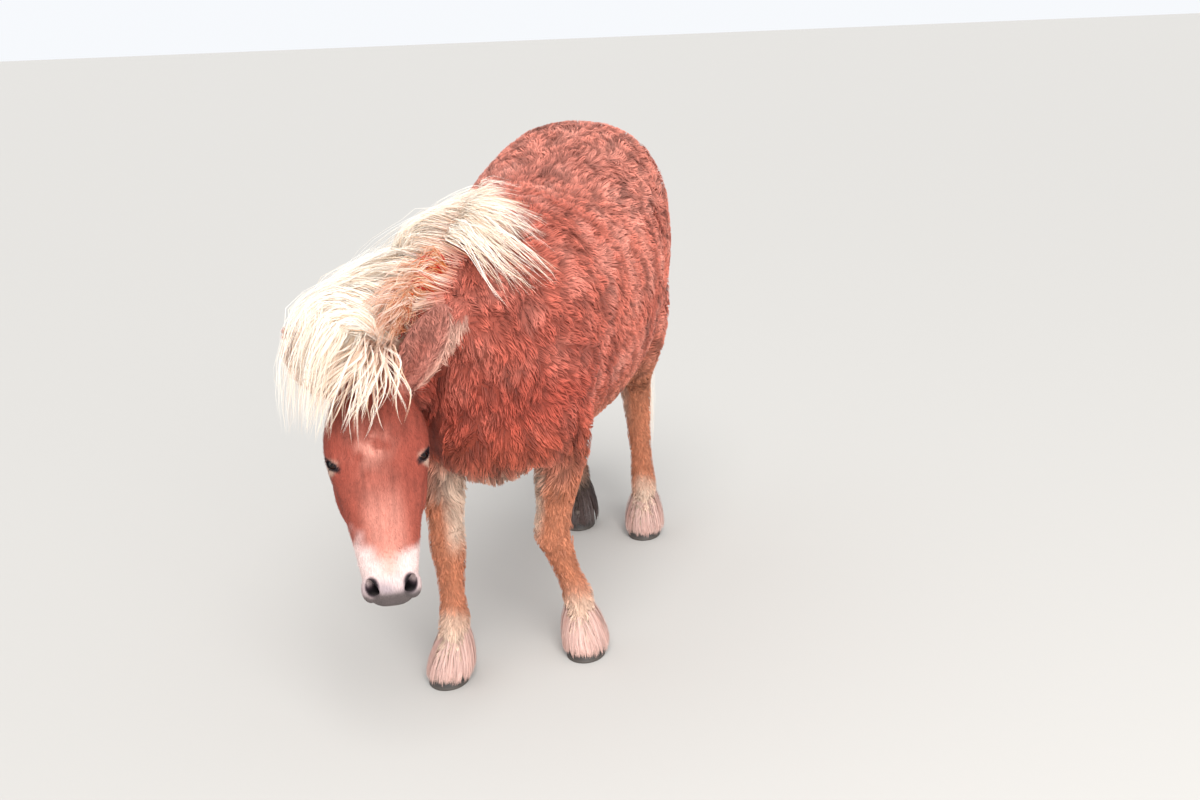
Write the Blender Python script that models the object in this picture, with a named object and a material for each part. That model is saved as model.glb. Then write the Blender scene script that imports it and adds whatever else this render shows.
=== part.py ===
"""A Shetland pony at life size, standing at rest with its head lowered and turned to its left.

Metres, +Z up. The pony faces -Y, so its left side is +X. It is modelled whole and then parted,
and the finished pieces are moved so that the origin is at the middle of its footprint.
"""

import math
import random

import bmesh
import bpy
import numpy as np
from mathutils import Matrix, Vector
from mathutils.bvhtree import BVHTree

# Sizes of the animal, to the outside of its winter coat.
HOOF_HEIGHT = 0.050
HOOF_HALF_WIDTH = 0.046
HOOF_HALF_LENGTH = 0.051
EYE_RADIUS = 0.0175
LID_THICKNESS = 0.0045
EYE_RINGS = 8
EAR_HALF_WIDTH = 0.040
EAR_WALL = 0.008
DOCK_RADIUS = 0.027
CREST_RADIUS = 0.024
FORELOCK_RADIUS = 0.032

# Locks of hair: how many, half width, half thickness, and how far off the skin they lie.
MANE_LOCKS = 11
PUFF_LOCKS = 7
FORELOCK_LOCKS = 6
TAIL_LOCKS = 5
FEATHER_LOCKS = 6
FRINGE_LOCKS = 5
MANE_WIDE = 0.027
MANE_THICK = 0.009
FORELOCK_WIDE = 0.017
TAIL_WIDE = 0.028
FEATHER_WIDE = 0.027
MANE_LIFT = 0.014
LOCK_TILT = math.radians(14)

# The dense part of the mane and forelock: its share of the hair's length, girth and skin clearance.
CORE_SHARE = 0.5
MANE_GIRTH = 0.022
FORELOCK_GIRTH = 0.014
CORE_CLEAR = 0.005

# The trunk: place along the body, then the heights of the widest level, back and belly, and half width.
TRUNK = (
    (0.605, 0.850, 0.920, 0.750, 0.070),
    (0.572, 0.850, 1.010, 0.660, 0.150),
    (0.505, 0.845, 1.066, 0.580, 0.204),
    (0.420, 0.830, 1.084, 0.535, 0.228),
    (0.320, 0.790, 1.062, 0.490, 0.240),
    (0.200, 0.750, 1.018, 0.452, 0.250),
    (0.080, 0.730, 0.990, 0.440, 0.252),
    (-0.060, 0.725, 0.978, 0.448, 0.240),
    (-0.180, 0.725, 0.982, 0.462, 0.216),
    (-0.280, 0.720, 0.960, 0.470, 0.196),
    (-0.370, 0.680, 0.880, 0.484, 0.162),
    (-0.435, 0.640, 0.780, 0.520, 0.112),
    (-0.462, 0.630, 0.700, 0.580, 0.050),
)

# How far the trunk sways to its right behind the shoulders, and where that starts and is reached.
SWAY = 0.022
SWAY_FROM = -0.25
SWAY_TO = 0.15

# The neck: centre, half width, and the half depths up to the crest and down to the throat.
NECK = (
    (0.000, -0.150, 0.760, 0.140, 0.205, 0.190),
    (-0.015, -0.280, 0.775, 0.126, 0.190, 0.190),
    (-0.064, -0.375, 0.760, 0.094, 0.178, 0.165),
    (-0.115, -0.440, 0.725, 0.070, 0.135, 0.130),
    (-0.145, -0.490, 0.675, 0.060, 0.085, 0.100),
    (-0.155, -0.515, 0.635, 0.055, 0.060, 0.080),
)

# The crest of the neck, from the withers to the poll.
CREST = (
    (0.000, -0.205, 0.968),
    (-0.018, -0.300, 0.958),
    (-0.062, -0.410, 0.915),
    (-0.105, -0.492, 0.838),
    (-0.138, -0.545, 0.752),
)

# The joints of each leg from the top down, the last being the middle of the sole.
LEGS = {
    "fore_left": (
        (0.110, -0.265, 0.680),
        (0.128, -0.285, 0.545),
        (0.080, -0.248, 0.300),
        (0.108, -0.182, 0.118),
        (0.128, -0.205, 0.0),
    ),
    "fore_right": (
        (-0.110, -0.265, 0.680),
        (-0.135, -0.300, 0.545),
        (-0.112, -0.345, 0.295),
        (-0.118, -0.335, 0.118),
        (-0.125, -0.366, 0.0),
    ),
    "hind_left": (
        (0.100, 0.390, 0.820),
        (0.135, 0.315, 0.600),
        (0.088, 0.490, 0.380),
        (0.102, 0.482, 0.118),
        (0.110, 0.442, 0.0),
    ),
    "hind_right": (
        (-0.135, 0.390, 0.820),
        (-0.160, 0.325, 0.600),
        (-0.112, 0.515, 0.380),
        (-0.088, 0.515, 0.118),
        (-0.078, 0.476, 0.0),
    ),
}

# Girths of a leg: the bone and how far down it, half width, and half depths to front and back.
FORE_GIRTHS = (
    (0, 0.00, 0.070, 0.090, 0.090),
    (1, 0.00, 0.062, 0.072, 0.076),
    (1, 0.45, 0.050, 0.054, 0.058),
    (1, 0.80, 0.039, 0.041, 0.043),
    (2, 0.00, 0.040, 0.044, 0.038),
    (2, 0.25, 0.034, 0.034, 0.035),
    (2, 0.65, 0.029, 0.028, 0.034),
    (3, 0.00, 0.036, 0.035, 0.044),
    (3, 0.35, 0.036, 0.037, 0.039),
    (3, 0.62, 0.043, 0.046, 0.045),
    (3, 0.85, 0.036, 0.038, 0.037),
)
HIND_GIRTHS = (
    (0, 0.00, 0.085, 0.140, 0.135),
    (0, 0.55, 0.092, 0.130, 0.135),
    (1, 0.00, 0.080, 0.100, 0.125),
    (1, 0.40, 0.060, 0.072, 0.082),
    (1, 0.75, 0.044, 0.049, 0.054),
    (2, 0.00, 0.041, 0.043, 0.052),
    (2, 0.25, 0.035, 0.035, 0.040),
    (2, 0.65, 0.030, 0.031, 0.036),
    (3, 0.00, 0.036, 0.037, 0.046),
    (3, 0.35, 0.036, 0.038, 0.040),
    (3, 0.62, 0.043, 0.047, 0.045),
    (3, 0.85, 0.036, 0.038, 0.037),
)

# Guide strands of the long hair, each from its root to its tip, and the middle of the tail.
MANE = (
    ((0.000, -0.215, 0.955), (-0.050, -0.235, 0.962), (-0.110, -0.280, 0.925), (-0.165, -0.330, 0.830)),
    ((-0.020, -0.310, 0.945), (-0.075, -0.360, 0.950), (-0.150, -0.410, 0.885), (-0.195, -0.460, 0.760)),
    ((-0.055, -0.395, 0.910), (-0.115, -0.450, 0.915), (-0.195, -0.530, 0.850), (-0.240, -0.600, 0.695)),
    ((-0.090, -0.470, 0.850), (-0.145, -0.550, 0.880), (-0.220, -0.630, 0.820), (-0.248, -0.685, 0.645)),
    ((-0.120, -0.530, 0.765), (-0.150, -0.610, 0.845), (-0.205, -0.690, 0.785), (-0.228, -0.725, 0.640)),
)
PUFF = (
    ((-0.022, -0.300, 0.948), (-0.008, -0.320, 0.992), (0.015, -0.315, 1.020), (0.034, -0.270, 1.026)),
    ((-0.030, -0.330, 0.938), (-0.002, -0.350, 0.990), (0.060, -0.350, 0.998), (0.125, -0.305, 0.958)),
    ((-0.038, -0.360, 0.928), (-0.002, -0.385, 0.968), (0.070, -0.400, 0.948), (0.168, -0.385, 0.840)),
    ((-0.046, -0.390, 0.915), (-0.015, -0.420, 0.938), (0.050, -0.440, 0.900), (0.100, -0.430, 0.820)),
)
FORELOCK = (
    ((-0.130, -0.560, 0.725), (-0.130, -0.650, 0.810), (-0.190, -0.720, 0.740), (-0.195, -0.730, 0.660)),
    ((-0.130, -0.560, 0.725), (-0.115, -0.650, 0.810), (-0.150, -0.715, 0.740), (-0.140, -0.720, 0.650)),
    ((-0.130, -0.560, 0.725), (-0.095, -0.640, 0.800), (-0.090, -0.690, 0.740), (-0.100, -0.700, 0.650)),
)
TAIL = (
    (0.000, 0.560, 0.945),
    (0.000, 0.600, 0.915),
    (0.000, 0.632, 0.850),
    (0.012, 0.648, 0.700),
    (0.040, 0.645, 0.500),
    (0.066, 0.635, 0.300),
    (0.074, 0.625, 0.130),
)

# Where the head hangs: the poll, its turn to the left, and the lean of the face from the vertical.
POLL = Vector((-0.138, -0.570, 0.724))
HEAD_TURN = math.radians(26.6)
FACE_LEAN = math.radians(36)

# The skull: distance down the face from the poll, half width, and the levels of the widest place,
# the forehead and the jaw, measured out of the face.
SKULL = (
    (-0.015, 0.060, -0.070, -0.020, -0.150),
    (0.020, 0.072, -0.055, 0.004, -0.185),
    (0.060, 0.084, -0.045, 0.012, -0.196),
    (0.100, 0.093, -0.038, 0.016, -0.194),
    (0.145, 0.092, -0.038, 0.012, -0.188),
    (0.200, 0.079, -0.042, 0.001, -0.176),
    (0.250, 0.067, -0.050, -0.007, -0.152),
    (0.300, 0.058, -0.056, -0.012, -0.132),
    (0.340, 0.052, -0.062, -0.016, -0.118),
    (0.374, 0.046, -0.064, -0.024, -0.104),
    (0.393, 0.036, -0.066, -0.038, -0.092),
    (0.402, 0.020, -0.066, -0.054, -0.080),
)

# Places on the head: to the left, down the face, out of the face.
EYE = (0.069, 0.150, -0.030)
NOSTRIL = (0.033, 0.374, -0.027)
EAR_BASE = (0.058, 0.012, -0.014)
EAR_TIP = (0.145, -0.088, 0.088)

# The cut between head and neck: a place behind the poll, and the way it faces, in the head's axes.
HEAD_CUT = (0.0, -0.034, 0.0)
HEAD_CUT_FACING = (0.30, 0.92, -0.25)

# How much wider than a leg the form that parts it from the trunk is.
LEG_CUT = 1.22
LEG_CUT_OUT = 0.060
LEG_CUT_LOW = 0.35
LEG_CUT_HIGH = 0.55
LEG_CUT_VOXEL = 0.012
LEG_CUT_FACES = 260

# The gap that neighbouring solids keep, and the finer one that a piece is trimmed to.
GAP = 0.0003
TRIM = 0.00025

# How many places the paths of hair have, and how quickly a strand waves.
HAIR_STEPS = 10
LOCK_STEPS = 5
TAIL_STEPS = 40
WAVE_TURN = 1.9

# The tail: its girths down to the middle, where each tier of locks starts and ends along it, and
# how far they stand out.
TAIL_GIRTHS = (0.022, 0.028, 0.036, 0.042, 0.018)
TAIL_TIERS = ((0.16, 0.80), (0.42, 1.0))
TAIL_SPREAD = 0.040

# How low the hair of the feet hangs, and the fringe of the brisket.
FEATHER_LOW = 0.016
FRINGE_REACH = 0.105
FRINGE_FROM = -0.33
FRINGE_LENGTH = 0.055

# How finely each kind of form is fused and thinned.
HAIR_VOXEL = 0.010
HEAD_VOXEL = 0.004
BODY_VOXEL = 0.008
HEAD_FACES = 1700
BODY_FACES = 2650


def clear_scene():
    for thing in list(bpy.data.objects):
        bpy.data.objects.remove(thing)


def finish(name, colour, roughness):
    """A surface of one colour."""
    made = bpy.data.materials.new(name)
    made.use_nodes = True
    shader = made.node_tree.nodes["Principled BSDF"]
    shader.inputs["Base Color"].default_value = (*colour, 1)
    shader.inputs["Roughness"].default_value = roughness
    shader.inputs["Metallic"].default_value = 0
    return made


def object_from(form, name):
    """Turns a bmesh into an object of the scene."""
    mesh = bpy.data.meshes.new(name)
    bmesh.ops.recalc_face_normals(form, faces=form.faces)
    form.to_mesh(mesh)
    form.free()
    made = bpy.data.objects.new(name, mesh)
    bpy.context.scene.collection.objects.link(made)
    return made


def copy_of(thing, name):
    made = thing.copy()
    made.data = thing.data.copy()
    made.name = name
    bpy.context.scene.collection.objects.link(made)
    return made


def discard(*things):
    for thing in things:
        bpy.data.objects.remove(thing)


def apply_modifiers(thing):
    """Replaces a mesh by what its modifiers make of it."""
    graph = bpy.context.evaluated_depsgraph_get()
    mesh = bpy.data.meshes.new_from_object(thing.evaluated_get(graph))
    thing.modifiers.clear()
    old = thing.data
    thing.data = mesh
    bpy.data.meshes.remove(old)
    return thing


def keep_largest(thing):
    """Drops all but the largest closed surface of a mesh."""
    form = bmesh.new()
    form.from_mesh(thing.data)
    bmesh.ops.triangulate(form, faces=form.faces)
    left = set(form.verts)
    groups = []
    while left:
        front = [left.pop()]
        group = list(front)
        while front:
            vert = front.pop()
            for edge in vert.link_edges:
                other = edge.other_vert(vert)
                if other in left:
                    left.remove(other)
                    front.append(other)
                    group.append(other)
        groups.append(group)
    groups.sort(key=len)
    for group in groups[:-1]:
        bmesh.ops.delete(form, geom=group, context="VERTS")
    form.to_mesh(thing.data)
    form.free()


def boolean(thing, cutter, operation, solver="EXACT"):
    """Cuts, joins or intersects a mesh with another, which is left as it is."""
    step = thing.modifiers.new(operation, "BOOLEAN")
    step.operation = operation
    step.object = cutter
    step.solver = solver
    apply_modifiers(thing)


def remesh(thing, voxel, rounds, faces):
    """Fuses overlapping forms into one skin, relaxes it and thins it to a number of triangles."""
    step = thing.modifiers.new("fuse", "REMESH")
    step.mode = "VOXEL"
    step.voxel_size = voxel
    step = thing.modifiers.new("relax", "SMOOTH")
    step.factor = 0.5
    step.iterations = rounds
    apply_modifiers(thing)
    step = thing.modifiers.new("thin", "DECIMATE")
    step.ratio = faces / (2 * len(thing.data.polygons))
    apply_modifiers(thing)
    keep_largest(thing)


def smooth_rows(rows, count):
    """Reads count rows off a Catmull-Rom curve through a few rows of numbers."""
    rows = np.array(rows, float)
    ends = np.vstack([2 * rows[0] - rows[1], rows, 2 * rows[-1] - rows[-2]])
    made = []
    for place in np.linspace(0, len(rows) - 1, count):
        i = min(int(place), len(rows) - 2)
        t = place - i
        a, b, c, d = ends[i : i + 4]
        bend = (2 * a - 5 * b + 4 * c - d) * t**2 + (3 * b - a - 3 * c + d) * t**3
        made.append(b + 0.5 * ((c - a) * t + bend))
    return np.array(made)


def power(value, exponent):
    return math.copysign(abs(value) ** exponent, value)


def add_loft(form, rows, count, across=(1, 0, 0), sides=28, roundness=2.0, place=Matrix()):
    """Adds a closed tube to a bmesh.

    Each row is the centre, the half width along across, and the half depths on the two sides. The
    first of these is up on the trunk, neck and head, where rows run forwards, and to the front on a
    leg, where they run down. A roundness of 2 is an ellipse, and more is squarer.
    """
    rows = smooth_rows(rows, count)
    centres = [Vector(row[:3]) for row in rows]
    rings = []
    for i, row in enumerate(rows):
        tangent = (centres[min(i + 1, count - 1)] - centres[max(i - 1, 0)]).normalized()
        side = Vector(across)
        side = (side - tangent * tangent.dot(side)).normalized()
        depth = tangent.cross(side)
        ring = []
        for k in range(sides):
            angle = 2 * math.pi * k / sides
            right = power(math.cos(angle), 2 / roundness) * row[3]
            reach = power(math.sin(angle), 2 / roundness) * (row[4] if k < sides / 2 else row[5])
            ring.append(form.verts.new(place @ (centres[i] + side * right + depth * reach)))
        rings.append(ring)
    for lower, upper in zip(rings, rings[1:]):
        for k in range(sides):
            form.faces.new((lower[k - 1], lower[k], upper[k], upper[k - 1]))
    form.faces.new(rings[0])
    form.faces.new(rings[-1])


def add_ball(form, centre, radii, turn=Matrix(), place=Matrix(), rings=12):
    """Adds an ellipsoid to a bmesh."""
    matrix = place @ Matrix.Translation(centre) @ turn @ Matrix.Diagonal((*radii, 1))
    bmesh.ops.create_uvsphere(form, u_segments=2 * rings, v_segments=rings, radius=1, matrix=matrix)


def turned(degrees, axis):
    return Matrix.Rotation(math.radians(degrees), 4, axis)


def head_matrix():
    """From the head's axes to the model's: x to its left, y up the face from the poll, z out of it."""
    turn = Matrix.Rotation(HEAD_TURN, 4, "Z")
    tip = Matrix.Rotation(math.pi / 2 - FACE_LEAN, 4, "X")
    return Matrix.Translation(POLL) @ turn @ tip


HEAD = head_matrix()


def on_head(left, down, out):
    """A place in the head's own axes."""
    return Vector((left, -down, out))


def add_trunk(form):
    rows = []
    for y, mid, top, low, wide in TRUNK:
        along = min(max((y - SWAY_FROM) / (SWAY_TO - SWAY_FROM), 0), 1)
        sway = SWAY * along * along * (3 - 2 * along)
        rows.append((-sway, y, mid, wide, top - mid, mid - low))
    add_loft(form, rows, 40, sides=40, roundness=2.3)
    add_ball(form, (0, -0.370, 0.565), (0.125, 0.090, 0.115))
    add_ball(form, (0.010, -0.350, 0.690), (0.118, 0.110, 0.125))
    for side in (1, -1):
        add_ball(form, (side * 0.118, -0.265, 0.720), (0.088, 0.120, 0.200), turned(-14, "X"))
        haunch = (side * 0.118 - SWAY, 0.415, 0.810)
        add_ball(form, haunch, (0.108, 0.165, 0.225), turned(12, "X"))
        add_ball(form, (side * 0.105, -0.330, 0.590), (0.075, 0.095, 0.115))


def add_neck(form):
    add_loft(form, NECK, 24, sides=32, roundness=2.1)


def leg_rows(joints, girths):
    """Turns girths along the bones of a leg into rows of a loft."""
    rows = []
    for bone, along, wide, front, back in girths:
        place = Vector(joints[bone]).lerp(Vector(joints[bone + 1]), along)
        rows.append((*place, wide, front, back))
    return rows


def add_legs(form):
    for name, joints in LEGS.items():
        girths = FORE_GIRTHS if name.startswith("fore") else HIND_GIRTHS
        add_loft(form, leg_rows(joints, girths), 40, sides=24)


def add_head(form):
    rows = [(0, -t, mid, wide, out - mid, mid - jaw) for t, wide, mid, out, jaw in SKULL]
    add_loft(form, rows, 44, sides=36, roundness=2.35, place=HEAD)
    add_ball(form, on_head(0, 0.362, -0.084), (0.036, 0.033, 0.025), place=HEAD)
    add_ball(form, on_head(0, 0.380, -0.064), (0.031, 0.022, 0.028), place=HEAD)
    for side in (1, -1):
        add_ball(form, on_head(side * 0.052, 0.105, -0.118), (0.032, 0.080, 0.072), place=HEAD)
        brow = on_head(side * 0.070, 0.132, -0.020)
        add_ball(form, brow, (0.024, 0.036, 0.020), turned(side * 35, "Y"), HEAD)
        bone = on_head(side * 0.062, 0.205, -0.052)
        add_ball(form, bone, (0.020, 0.060, 0.018), turned(side * -10, "Z"), HEAD)
        nostril = on_head(side * 0.032, 0.369, -0.046)
        add_ball(form, nostril, (0.021, 0.030, 0.027), turned(side * 12, "Z"), HEAD)
        root = on_head(side * 0.050, 0.014, -0.030)
        add_ball(form, root, (0.031, 0.032, 0.030), place=HEAD)


def flesh(name, voxel, faces):
    """Trunk, neck and legs as one skin."""
    form = bmesh.new()
    add_trunk(form)
    add_neck(form)
    add_legs(form)
    made = object_from(form, name)
    remesh(made, voxel, 10, faces)
    return made


def head_and_throat():
    """The head with some neck behind it, as one finer skin."""
    form = bmesh.new()
    add_neck(form)
    add_head(form)
    made = object_from(form, "head")
    remesh(made, HEAD_VOXEL, 6, HEAD_FACES)
    return made


def slab(name, corner, far, matrix=Matrix()):
    """A box between two corners, to cut with."""
    form = bmesh.new()
    middle = (Vector(corner) + Vector(far)) / 2
    size = Vector(far) - Vector(corner)
    box = matrix @ Matrix.Translation(middle) @ Matrix.Diagonal((*size, 1))
    bmesh.ops.create_cube(form, size=1, matrix=box)
    return object_from(form, name)


def tube(name, points, radius, count=20, sides=12, ends=0.4):
    """A round bar along a smooth curve, slimmer at its ends."""
    rows = [(*p, radius, radius, radius) for p in points]
    rows[0] = (*points[0], *(3 * [radius * ends]))
    rows[-1] = (*points[-1], *(3 * [radius * ends]))
    form = bmesh.new()
    add_loft(form, rows, count, sides=sides)
    return object_from(form, name)


def ball(name, centre, radii, turn=Matrix(), place=Matrix(), rings=10):
    form = bmesh.new()
    add_ball(form, centre, radii, turn, place, rings)
    return object_from(form, name)


def swollen(thing, by):
    """A copy of a mesh with its surface moved out."""
    made = copy_of(thing, thing.name + "_swollen")
    step = made.modifiers.new("swell", "DISPLACE")
    step.strength = by
    step.mid_level = 0
    return apply_modifiers(made)


def cut_eyes(head):
    """Makes lids over the eyeballs, and gives the eyeballs."""
    eyes = []
    lid = EYE_RADIUS + LID_THICKNESS
    for name, side in (("left", 1), ("right", -1)):
        centre = on_head(side * EYE[0], EYE[1], EYE[2])
        lids = ball("lids", centre, (lid, lid, lid), place=HEAD, rings=12)
        boolean(head, lids, "UNION")
        round_eye = (EYE_RADIUS, EYE_RADIUS, EYE_RADIUS)
        eye = ball("eye_" + name, centre, round_eye, place=HEAD, rings=EYE_RINGS)
        hollow = swollen(eye, GAP)
        turn = turned(side * 56, "Y") @ turned(side * 42, "Z")
        outward = turned(side * 56, "Y") @ Vector((0, 0, lid))
        slit = ball("slit", centre + outward, (0.0185, 0.0052, 0.014), turn, HEAD, rings=8)
        boolean(head, hollow, "DIFFERENCE")
        boolean(head, slit, "DIFFERENCE")
        discard(lids, hollow, slit)
        eyes.append(eye)
    return eyes


def cut_muzzle(head):
    """Opens the nostrils and draws the line of the mouth."""
    for side in (1, -1):
        turn = turned(side * -24, "Z") @ turned(side * 34, "Y")
        place = on_head(side * NOSTRIL[0], NOSTRIL[1], NOSTRIL[2])
        pit = ball("pit", place, (0.0085, 0.0150, 0.020), turn, HEAD, rings=8)
        boolean(head, pit, "DIFFERENCE")
        discard(pit)
    form = bmesh.new()
    steps = 14
    bands = []
    for k in range(steps + 1):
        angle = math.pi * k / steps
        across, down = math.cos(angle), math.sin(angle)
        bands.append([])
        for reach_x, reach_y in ((0.036, 0.062), (0.070, 0.100)):
            for lift in (-0.0012, 0.0012):
                spot = on_head(across * reach_x, 0.330 + down * reach_y, -0.091 + lift)
                bands[-1].append(form.verts.new(HEAD @ spot))
    order = (0, 1, 3, 2)
    for here, there in zip(bands, bands[1:]):
        for a, b in zip(order, order[1:] + order[:1]):
            form.faces.new((here[a], here[b], there[b], there[a]))
    form.faces.new([bands[0][k] for k in order])
    form.faces.new([bands[-1][k] for k in order])
    groove = object_from(form, "groove")
    boolean(head, groove, "DIFFERENCE")
    discard(groove)


def ear(name, side):
    """A cupped leaf that opens forwards and outwards."""
    base = on_head(side * EAR_BASE[0], EAR_BASE[1], EAR_BASE[2])
    tip = on_head(side * EAR_TIP[0], EAR_TIP[1], EAR_TIP[2])
    up = (tip - base).normalized()
    opening = on_head(side * 0.26, 0.25, 0.90)
    opening = (opening - up * up.dot(opening)).normalized()
    wide = up.cross(opening).normalized()
    # Place up the ear, half width, and how far round its cup reaches in degrees.
    rows = smooth_rows(
        (
            (0.00, 0.60, 125),
            (0.18, 0.78, 105),
            (0.40, 1.00, 78),
            (0.62, 0.98, 66),
            (0.82, 0.72, 58),
            (0.95, 0.34, 50),
            (1.00, 0.12, 50),
        ),
        10,
    )
    form = bmesh.new()
    rings = []
    steps = 8
    for along, share, reach in rows:
        half = EAR_HALF_WIDTH * share
        reach = math.radians(reach)
        radius = half / math.sin(min(reach, math.pi / 2))
        wall = min(EAR_WALL, 0.45 * half)
        middle = base.lerp(tip, along) + opening * (radius - 0.25 * half)
        ring = []
        for size, turns in ((radius, range(steps + 1)), (radius - wall, range(steps, -1, -1))):
            for k in turns:
                angle = reach * (2 * k / steps - 1)
                across = wide * math.sin(angle) - opening * math.cos(angle)
                ring.append(form.verts.new(HEAD @ (middle + across * size)))
        rings.append(ring)
    count = len(rings[0])
    for lower, upper in zip(rings, rings[1:]):
        for k in range(count):
            form.faces.new((lower[k - 1], lower[k], upper[k], upper[k - 1]))
    for ring in (rings[0], rings[-1]):
        for k in range(steps):
            form.faces.new((ring[k], ring[k + 1], ring[count - 2 - k], ring[count - 1 - k]))
    bmesh.ops.triangulate(form, faces=form.faces)
    return object_from(form, name)


def hoof(name, sole):
    """A horn wall that slopes forwards, flat on the ground."""
    form = bmesh.new()
    # Height, how far back of the toe's centre, and the share of the full size.
    levels = ((0.0, -0.004, 1.0), (0.004, -0.003, 1.0), (0.5, 0.004, 0.93), (1.0, 0.011, 0.86))
    rows = []
    for height, back, share in levels:
        z = min(height, 1.0) * HOOF_HEIGHT
        long, wide = HOOF_HALF_LENGTH * share, HOOF_HALF_WIDTH * share
        rows.append((sole[0], sole[1] + back, z, wide, long))
    rings = []
    sides = 18
    for x, y, z, wide, long in rows:
        ring = []
        for k in range(sides):
            angle = 2 * math.pi * k / sides
            ring.append(form.verts.new((x + wide * math.cos(angle), y + long * math.sin(angle), z)))
        rings.append(ring)
    for lower, upper in zip(rings, rings[1:]):
        for k in range(sides):
            form.faces.new((lower[k - 1], lower[k], upper[k], upper[k - 1]))
    form.faces.new(rings[0])
    form.faces.new(rings[-1])
    return object_from(form, name)


def round_leg(name, joints, girths):
    """A fat closed form round a leg, to cut with, that stands out of the flank at its top."""
    rows = []
    for x, y, z, wide, front, back in leg_rows(joints, girths):
        share = min(max((z - LEG_CUT_LOW) / (LEG_CUT_HIGH - LEG_CUT_LOW), 0), 1)
        out = LEG_CUT_OUT * share
        sizes = (LEG_CUT * wide + out, LEG_CUT * front, LEG_CUT * back)
        rows.append((x + math.copysign(out, x), y, z, *sizes))
    form = bmesh.new()
    add_loft(form, rows, 26, sides=18)
    made = object_from(form, name)
    remesh(made, LEG_CUT_VOXEL, 4, LEG_CUT_FACES)
    return made


def part_legs(torso):
    """Parts the four legs from the trunk, and the hooves from the legs."""
    made = []
    floor = slab("floor", (-1, -1, -0.1), (1, 1, HOOF_HEIGHT + GAP))
    for name, joints in LEGS.items():
        girths = (FORE_GIRTHS if name.startswith("fore") else HIND_GIRTHS)[1:]
        leg = copy_of(torso, "leg_" + name)
        inner = round_leg("inner", joints, girths)
        boolean(leg, inner, "INTERSECT")
        keep_largest(leg)
        outer = swollen(inner, GAP)
        boolean(torso, outer, "DIFFERENCE")
        keep_largest(torso)
        discard(inner, outer)
        boolean(leg, floor, "DIFFERENCE")
        keep_largest(leg)
        made.append(leg)
        made.append(hoof("hoof_" + name, joints[-1]))
    discard(floor)
    return made


def half_space(name, matrix, side):
    """Everything on one side of a plane, short of it by half the gap."""
    reach = 2.0
    low, high = (GAP / 2, reach) if side > 0 else (-reach, -GAP / 2)
    return slab(name, (-reach, low, -reach), (reach, high, reach), matrix)


def facing(normal):
    """The turn that points the y axis along a direction."""
    return Vector(normal).normalized().to_track_quat("Y", "Z").to_matrix().to_4x4()


def part_head(head, body):
    """Parts the head from the neck by one slanting plane behind the ears."""
    matrix = HEAD @ Matrix.Translation(on_head(*HEAD_CUT)) @ facing(HEAD_CUT_FACING)
    ahead = half_space("ahead", matrix, -1)
    boolean(head, ahead, "INTERSECT")
    beyond = ball("beyond", on_head(0, 0.070, -0.085), (0.135, 0.150, 0.140), place=HEAD)
    near = slab("near", (-1, -1, -1), (1, GAP / 2, 1), matrix)
    boolean(beyond, near, "INTERSECT")
    discard(near)
    boolean(body, beyond, "DIFFERENCE")
    discard(ahead, beyond)
    keep_largest(head)
    keep_largest(body)


def part_neck(body):
    """Parts the neck from the trunk along a plane from the withers to the chest."""
    withers, chest = Vector((0, -0.195, 0.985)), Vector((0, -0.425, 0.620))
    normal = (withers - chest).cross(Vector((1, 0, 0))).normalized()
    if normal.y > 0:
        normal = -normal
    matrix = Matrix.Translation(withers) @ facing(normal)
    neck = copy_of(body, "neck")
    front = half_space("front", matrix, 1)
    rear = half_space("rear", matrix, -1)
    boolean(neck, front, "INTERSECT")
    boolean(body, rear, "INTERSECT")
    discard(front, rear)
    keep_largest(neck)
    keep_largest(body)
    return neck


def guide_path(guides, place, count=HAIR_STEPS):
    """A smooth path between the guides, which are each given as a row of points."""
    place = place * (len(guides) - 1)
    i = min(int(place), len(guides) - 2)
    first, second = np.array(guides[i], float), np.array(guides[i + 1], float)
    return [Vector(p) for p in smooth_rows(first + (second - first) * (place - i), count)]


def skin_tree(*things):
    """The surfaces of some meshes, to find the nearest place on them."""
    places = []
    faces = []
    for thing in things:
        start = len(places)
        places += [v.co.copy() for v in thing.data.vertices]
        faces += [[start + v for v in face.vertices] for face in thing.data.polygons]
    return BVHTree.FromPolygons(places, faces)


def lifted(path, tree, clearance):
    """Moves a path out of the skin."""
    made = []
    for point in path:
        near, normal, _, _ = tree.find_nearest(point)
        depth = (point - near).dot(normal)
        made.append(point + normal * max(clearance - depth, 0))
    return made


def hair_core(name, guides, count, tree, girth, faces):
    """The dense part of long hair, half way out to its tips, as one smooth form."""
    form = bmesh.new()
    for k in range(count):
        path = guide_path(guides, k / (count - 1))
        path = lifted(path[: round(CORE_SHARE * len(path)) + 1], tree, 1.1 * girth + CORE_CLEAR)
        rows = []
        for step, point in enumerate(path):
            size = girth * (1 - 0.45 * (step / (len(path) - 1)) ** 2)
            rows.append((*point, size, size, size))
        add_loft(form, rows, 8, across=(0.3, 0.5, 0.8), sides=10)
    made = object_from(form, name)
    remesh(made, HAIR_VOXEL, 2, faces)
    return made


def add_ring(form, centre, side, out):
    """Adds the four corners of a flat strand at one place."""
    return [form.verts.new(centre + step) for step in (side, out, -side, -out)]


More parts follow.
